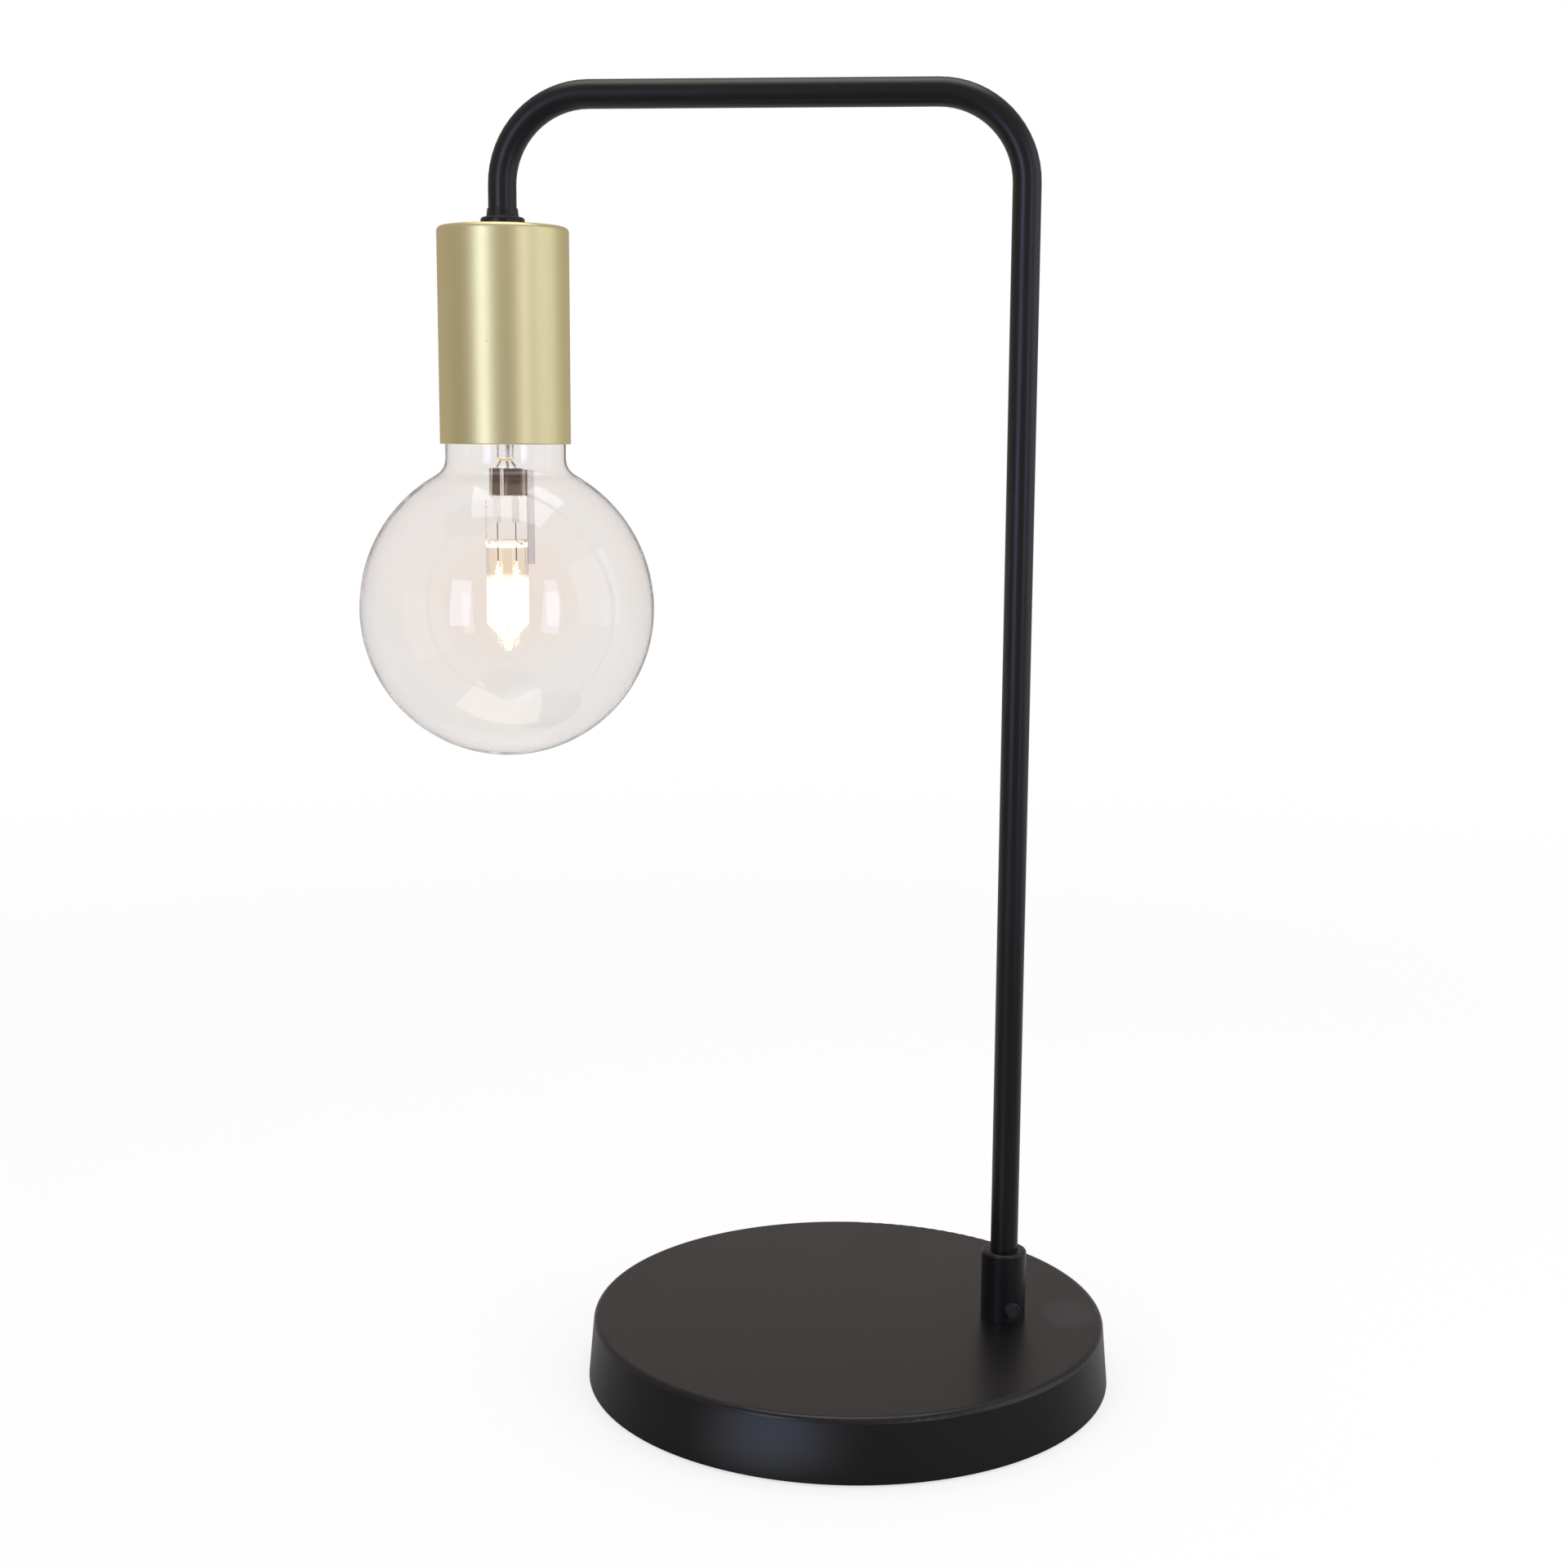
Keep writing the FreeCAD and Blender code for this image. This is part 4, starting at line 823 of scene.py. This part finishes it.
@dataclass
class Bulb(SubAssembly):
    """The globe bulb: cap, glass, stem, and the burning capsule in its clip."""

    axis_x: float = HEAD_X
    stem_end: float = 303.7 * MM
    pinch_end: float = 278.5 * MM
    coil_top: float = 269.3 * MM
    coil_end: float = 252.8 * MM

    def finishes(self) -> Dict[str, Finish]:
        """The finish of each CAD node of the bulb."""
        coil = (self.axis_x, 0.0, (self.coil_top + self.coil_end) / 2)
        burning = Burning("burning_tungsten", self.coil_top + 2.5 * MM, self.coil_top, 22.0)
        return {
            "glass_globe": BulbGlass(
                "globe_glass",
                (0.915, 0.895, 0.88),
                21 * MM,
                25 * MICRON,
                coil,
                # painted glow: the globe's warmer tint near the coil
                (0.93, 0.86, 0.81),
                ior=1.17,
            ),
            "bulb_cap": Metal(
                "cap_nickel", (0.72, 0.71, 0.68), (0.5, 0.48, 0.44), 0.22, lay=Lay.TURNED
            ),
            "cap_cement": Mineral("cap_cement", (0.5, 0.46, 0.4), (0.3, 0.27, 0.22), 0.85),
            "cap_insulator": Moulded(
                "black_vitrite", (0.01, 0.009, 0.012), (0.02, 0.016, 0.024), 0.12, coat=0.6
            ),
            "bulb_contact": Metal(
                "solder", (0.6, 0.6, 0.6), (0.36, 0.36, 0.37), 0.36, depth=20 * MICRON
            ),
            "stem_glass": BulbGlass(
                "stem_glass",
                (0.97, 0.96, 0.95),
                3 * MM,
                60 * MICRON,
                coil,
                # painted glow: the stem's warmer tint near the coil
                (1.0, 0.9, 0.8),
                ior=1.35,
                # painted glint: the stem glows below its end
                lit_end=self.stem_end,
            ),
            "lead_wires": NICKEL_WIRE,
            "support_wire": NICKEL_WIRE,
            "capsule_pins": NICKEL_WIRE,
            # painted reflection: the clip steel's dark and bright upright stripes
            "capsule_clip": SpringSteel("clip_steel", self.axis_x + 6.7 * MM),
            # painted glow: the quartz glows round the coil and in a ring under the pinch
            "capsule_glass": CapsuleGlass(
                "burning_capsule", self.pinch_end, self.coil_top, self.coil_end, 0.3
            ),
            "foils": Metal(
                "molybdenum_foil", (0.85, 0.8, 0.76), (0.7, 0.62, 0.56), 0.16, lay=Lay.DRAWN
            ),
            "filament": burning,
            "filament_post": Metal(
                "post_tungsten", (0.3, 0.28, 0.27), (0.2, 0.18, 0.17), 0.4
            ),
        }


# ----------------------------------------------------------- floor, light, view


@dataclass(frozen=True)
class SoftBox:
    """A rectangular studio light.

    The glow is its brightness as seen, so that its size changes only how far it wraps.
    """

    name: str
    place: Point
    aim: Point
    width: float
    height: float
    glow: float
    colour: Colour

    def build(self) -> None:
        """Adds the light to the scene."""
        light = bpy.data.lights.new(self.name, "AREA")
        light.shape = "RECTANGLE"
        light.size, light.size_y = self.width, self.height
        light.energy = self.glow * math.pi * self.width * self.height
        light.color = self.colour
        lamp = bpy.data.objects.new(self.name, light)
        lamp.location = self.place
        ahead = Vector(self.aim) - Vector(self.place)
        lamp.rotation_euler = ahead.to_track_quat("-Z", "Y").to_euler()
        bpy.context.scene.collection.objects.link(lamp)


@dataclass
class Studio:
    """A pale floor, a white surround and soft boxes.

    The camera sees floor and surround white. In reflections and for light they are a dim warm
    room, brighter behind the lamp, with a cool spot on the floor in front of it.

    Attributes:
        floor_radius: The floor's radius.
        lit_radius: Where the floor starts to fade to plain white.
        white_radius: Where that fade ends.
        near_white: The floor's white as seen near the lamp, and 1 far off.
        white_share: How much of the floor is white glow instead of matt, near the lamp.
        white_share_far: What far off adds to that share.
        white_share_bounced: What reflections add to it.
        surround: The room's brightness in reflections.
        floor_dim: The floor's share of that brightness in front of the lamp.
        floor_lift: What the floor behind the lamp adds to that share.
        lift_start: The y where the floor starts to brighten.
        lift_end: The y where it ends.
        room: The room's colour in reflections.
        through_glass: What the bulb's glass takes from light that counts as bounced.
        cool_spot: The cool spot's centre.
        cool_reach: Its radius.
        cool_glow: Its brightness.
        cool: Its colour.
    """

    floor_radius: float = 12.0
    lit_radius: float = 0.45
    white_radius: float = 1.6
    near_white: float = 1.2
    white_share: float = 0.6
    white_share_far: float = 0.4
    white_share_bounced: float = 0.2
    surround: float = 0.42
    floor_dim: float = 0.35
    floor_lift: float = 0.9
    lift_start: float = -0.06
    lift_end: float = 0.1
    room: Colour = (1.0, 0.92, 0.88)
    through_glass: float = 0.7
    cool_spot: Point = (-0.045, -0.14, 0.0)
    cool_reach: float = 0.065
    cool_glow: float = 3.0
    cool: Colour = (0.5, 0.62, 1.0)

    def build_floor(self) -> None:
        """Adds the floor: pale and softly shaded near the lamp, plain white far off."""
        mesh = bpy.data.meshes.new("studio_floor")
        sheet = bmesh.new()
        bmesh.ops.create_circle(sheet, cap_ends=True, radius=self.floor_radius, segments=96)
        sheet.to_mesh(mesh)
        sheet.free()
        floor = bpy.data.objects.new("studio_floor", mesh)
        bpy.context.scene.collection.objects.link(floor)
        nodes = Nodes("studio_floor")
        matt = nodes.surface(Base_Color=(0.9, 0.9, 0.9), Roughness=0.7, Specular_IOR_Level=0.2)
        far = nodes.from_point((0.0, 0.0, 0.0)).step(self.lit_radius, self.white_radius)
        cool = nodes.from_point(self.cool_spot, (1.0, 1.0, 0.0)).step(self.cool_reach, 0.0)
        bounced = self.bounced(nodes.tree)
        direct_part = 1.0 - bounced
        colour = nodes.tint(bounced * cool, WHITE, self.cool)
        direct = (1.0 - far) * (self.near_white - 1.0) + 1.0
        behind = nodes.along(1).step(self.lift_start, self.lift_end)
        room = self.surround * (behind * self.floor_lift + self.floor_dim)
        strength = direct * direct_part + (cool * self.cool_glow + room) * bounced
        white = nodes.add("ShaderNodeEmission", {}, {"Color": colour, "Strength": strength})
        share = far * direct_part * self.white_share_far
        share = share + bounced * self.white_share_bounced + self.white_share
        surface = nodes.add("ShaderNodeMixShader", {}, {0: share, 1: matt, 2: white})
        mesh.materials.append(nodes.close(surface))

    def bounced(self, tree: bpy.types.NodeTree) -> Signal:
        """1 for light that has met anything on its way to the camera, and 0 for the rest.

        Light that also passes through the bulb's glass counts for less, so that the glass keeps
        pale edges.

        Args:
            tree: The node tree that uses it.

        Returns:
            The share, from 0 to 1.
        """
        matt = add_node(tree, "ShaderNodeLightPath", {}, {}, "Diffuse Depth")
        shiny = add_node(tree, "ShaderNodeLightPath", {}, {}, "Glossy Depth")
        through = add_node(tree, "ShaderNodeLightPath", {}, {}, "Transmission Depth")
        met = (matt + shiny).at_most(1.0)
        return met * (1.0 - through.at_most(1.0) * self.through_glass)

    def build_surround(self) -> None:
        """Adds the surround: white as seen, a dim warm room in reflections and for light."""
        world = bpy.data.worlds.new("studio")
        world.use_nodes = True
        tree = world.node_tree
        tree.nodes.clear()
        bounced = self.bounced(tree)
        colour = mix_colours(tree, bounced, (*WHITE, 1.0), (*self.room, 1.0))
        strength = bounced * (self.surround - 1.0) + 1.0
        sky = add_node(tree, "ShaderNodeBackground", {}, {"Color": colour, "Strength": strength})
        add_node(tree, "ShaderNodeOutputWorld", {}, {"Surface": sky})
        bpy.context.scene.world = world

    def build(self) -> None:
        """Adds the floor, the surround and the lights."""
        self.build_floor()
        self.build_surround()
        middle, centre = (-0.1, 0.0, 0.3), (0.0, 0.0, 0.0)
        boxes: Sequence[SoftBox] = (
            SoftBox("key_left", (-0.684, -1.224, 0.42), HEAD, 0.38, 0.8, 4.6, (0.57, 0.67, 1.0)),
            SoftBox("key_right", (0.86, -0.935, 0.42), HEAD, 0.23, 0.8, 3.3, (0.7, 0.74, 1.0)),
            SoftBox("fill_right", (1.3, -0.05, 0.55), middle, 1.1, 1.1, 1.0, (0.7, 0.8, 1.0)),
            SoftBox("top", (0.0, 0.15, 1.9), centre, 1.4, 1.2, 2.3, (1.0, 0.98, 0.97)),
        )
        for box in boxes:
            box.build()
        bpy.context.scene.view_settings.view_transform = "Standard"
        LOG.info("studio with %d lights", len(boxes))


@dataclass(frozen=True)
class Viewpoint:
    """The camera, where the photograph was taken from. Angles are in degrees."""

    place: Point = (0.039394, -0.716986, 0.314167)
    yaw: float = -4.939
    pitch: float = 8.986
    roll: float = 0.319
    lens: float = 51.356
    film: float = 36.0

    def build(self) -> None:
        """Adds the camera and makes it the scene's."""
        yaw, pitch, roll = (math.radians(a) for a in (self.yaw, self.pitch, self.roll))
        forward = Vector((math.sin(yaw), math.cos(yaw), 0.0))
        ahead = forward * math.cos(pitch) - Vector((0.0, 0.0, math.sin(pitch)))
        level = Vector((math.cos(yaw), -math.sin(yaw), 0.0))
        upright = level.cross(ahead)
        right = level * math.cos(roll) + upright * math.sin(roll)
        up = upright * math.cos(roll) - level * math.sin(roll)
        data = bpy.data.cameras.new("view")
        data.sensor_fit = "HORIZONTAL"
        data.sensor_width, data.lens = self.film, self.lens
        data.clip_start, data.clip_end = 0.01, 100.0
        camera = bpy.data.objects.new("view", data)
        turn = Matrix((right, up, -ahead)).transposed().to_4x4()
        camera.matrix_world = Matrix.Translation(self.place) @ turn
        bpy.context.scene.collection.objects.link(camera)
        bpy.context.scene.camera = camera


def main() -> None:
    """Builds the sub-assemblies in order, then the studio and the view."""
    logging.basicConfig(level=logging.INFO, format="%(name)s: %(message)s")
    groups: Sequence[SubAssembly] = (Foot(), Pole(), Holder(), Bulb())
    for group in groups:
        group.build()
        LOG.info("built %s", type(group).__name__)
    Studio().build()
    Viewpoint().build()


if __name__ == "__main__":
    main()
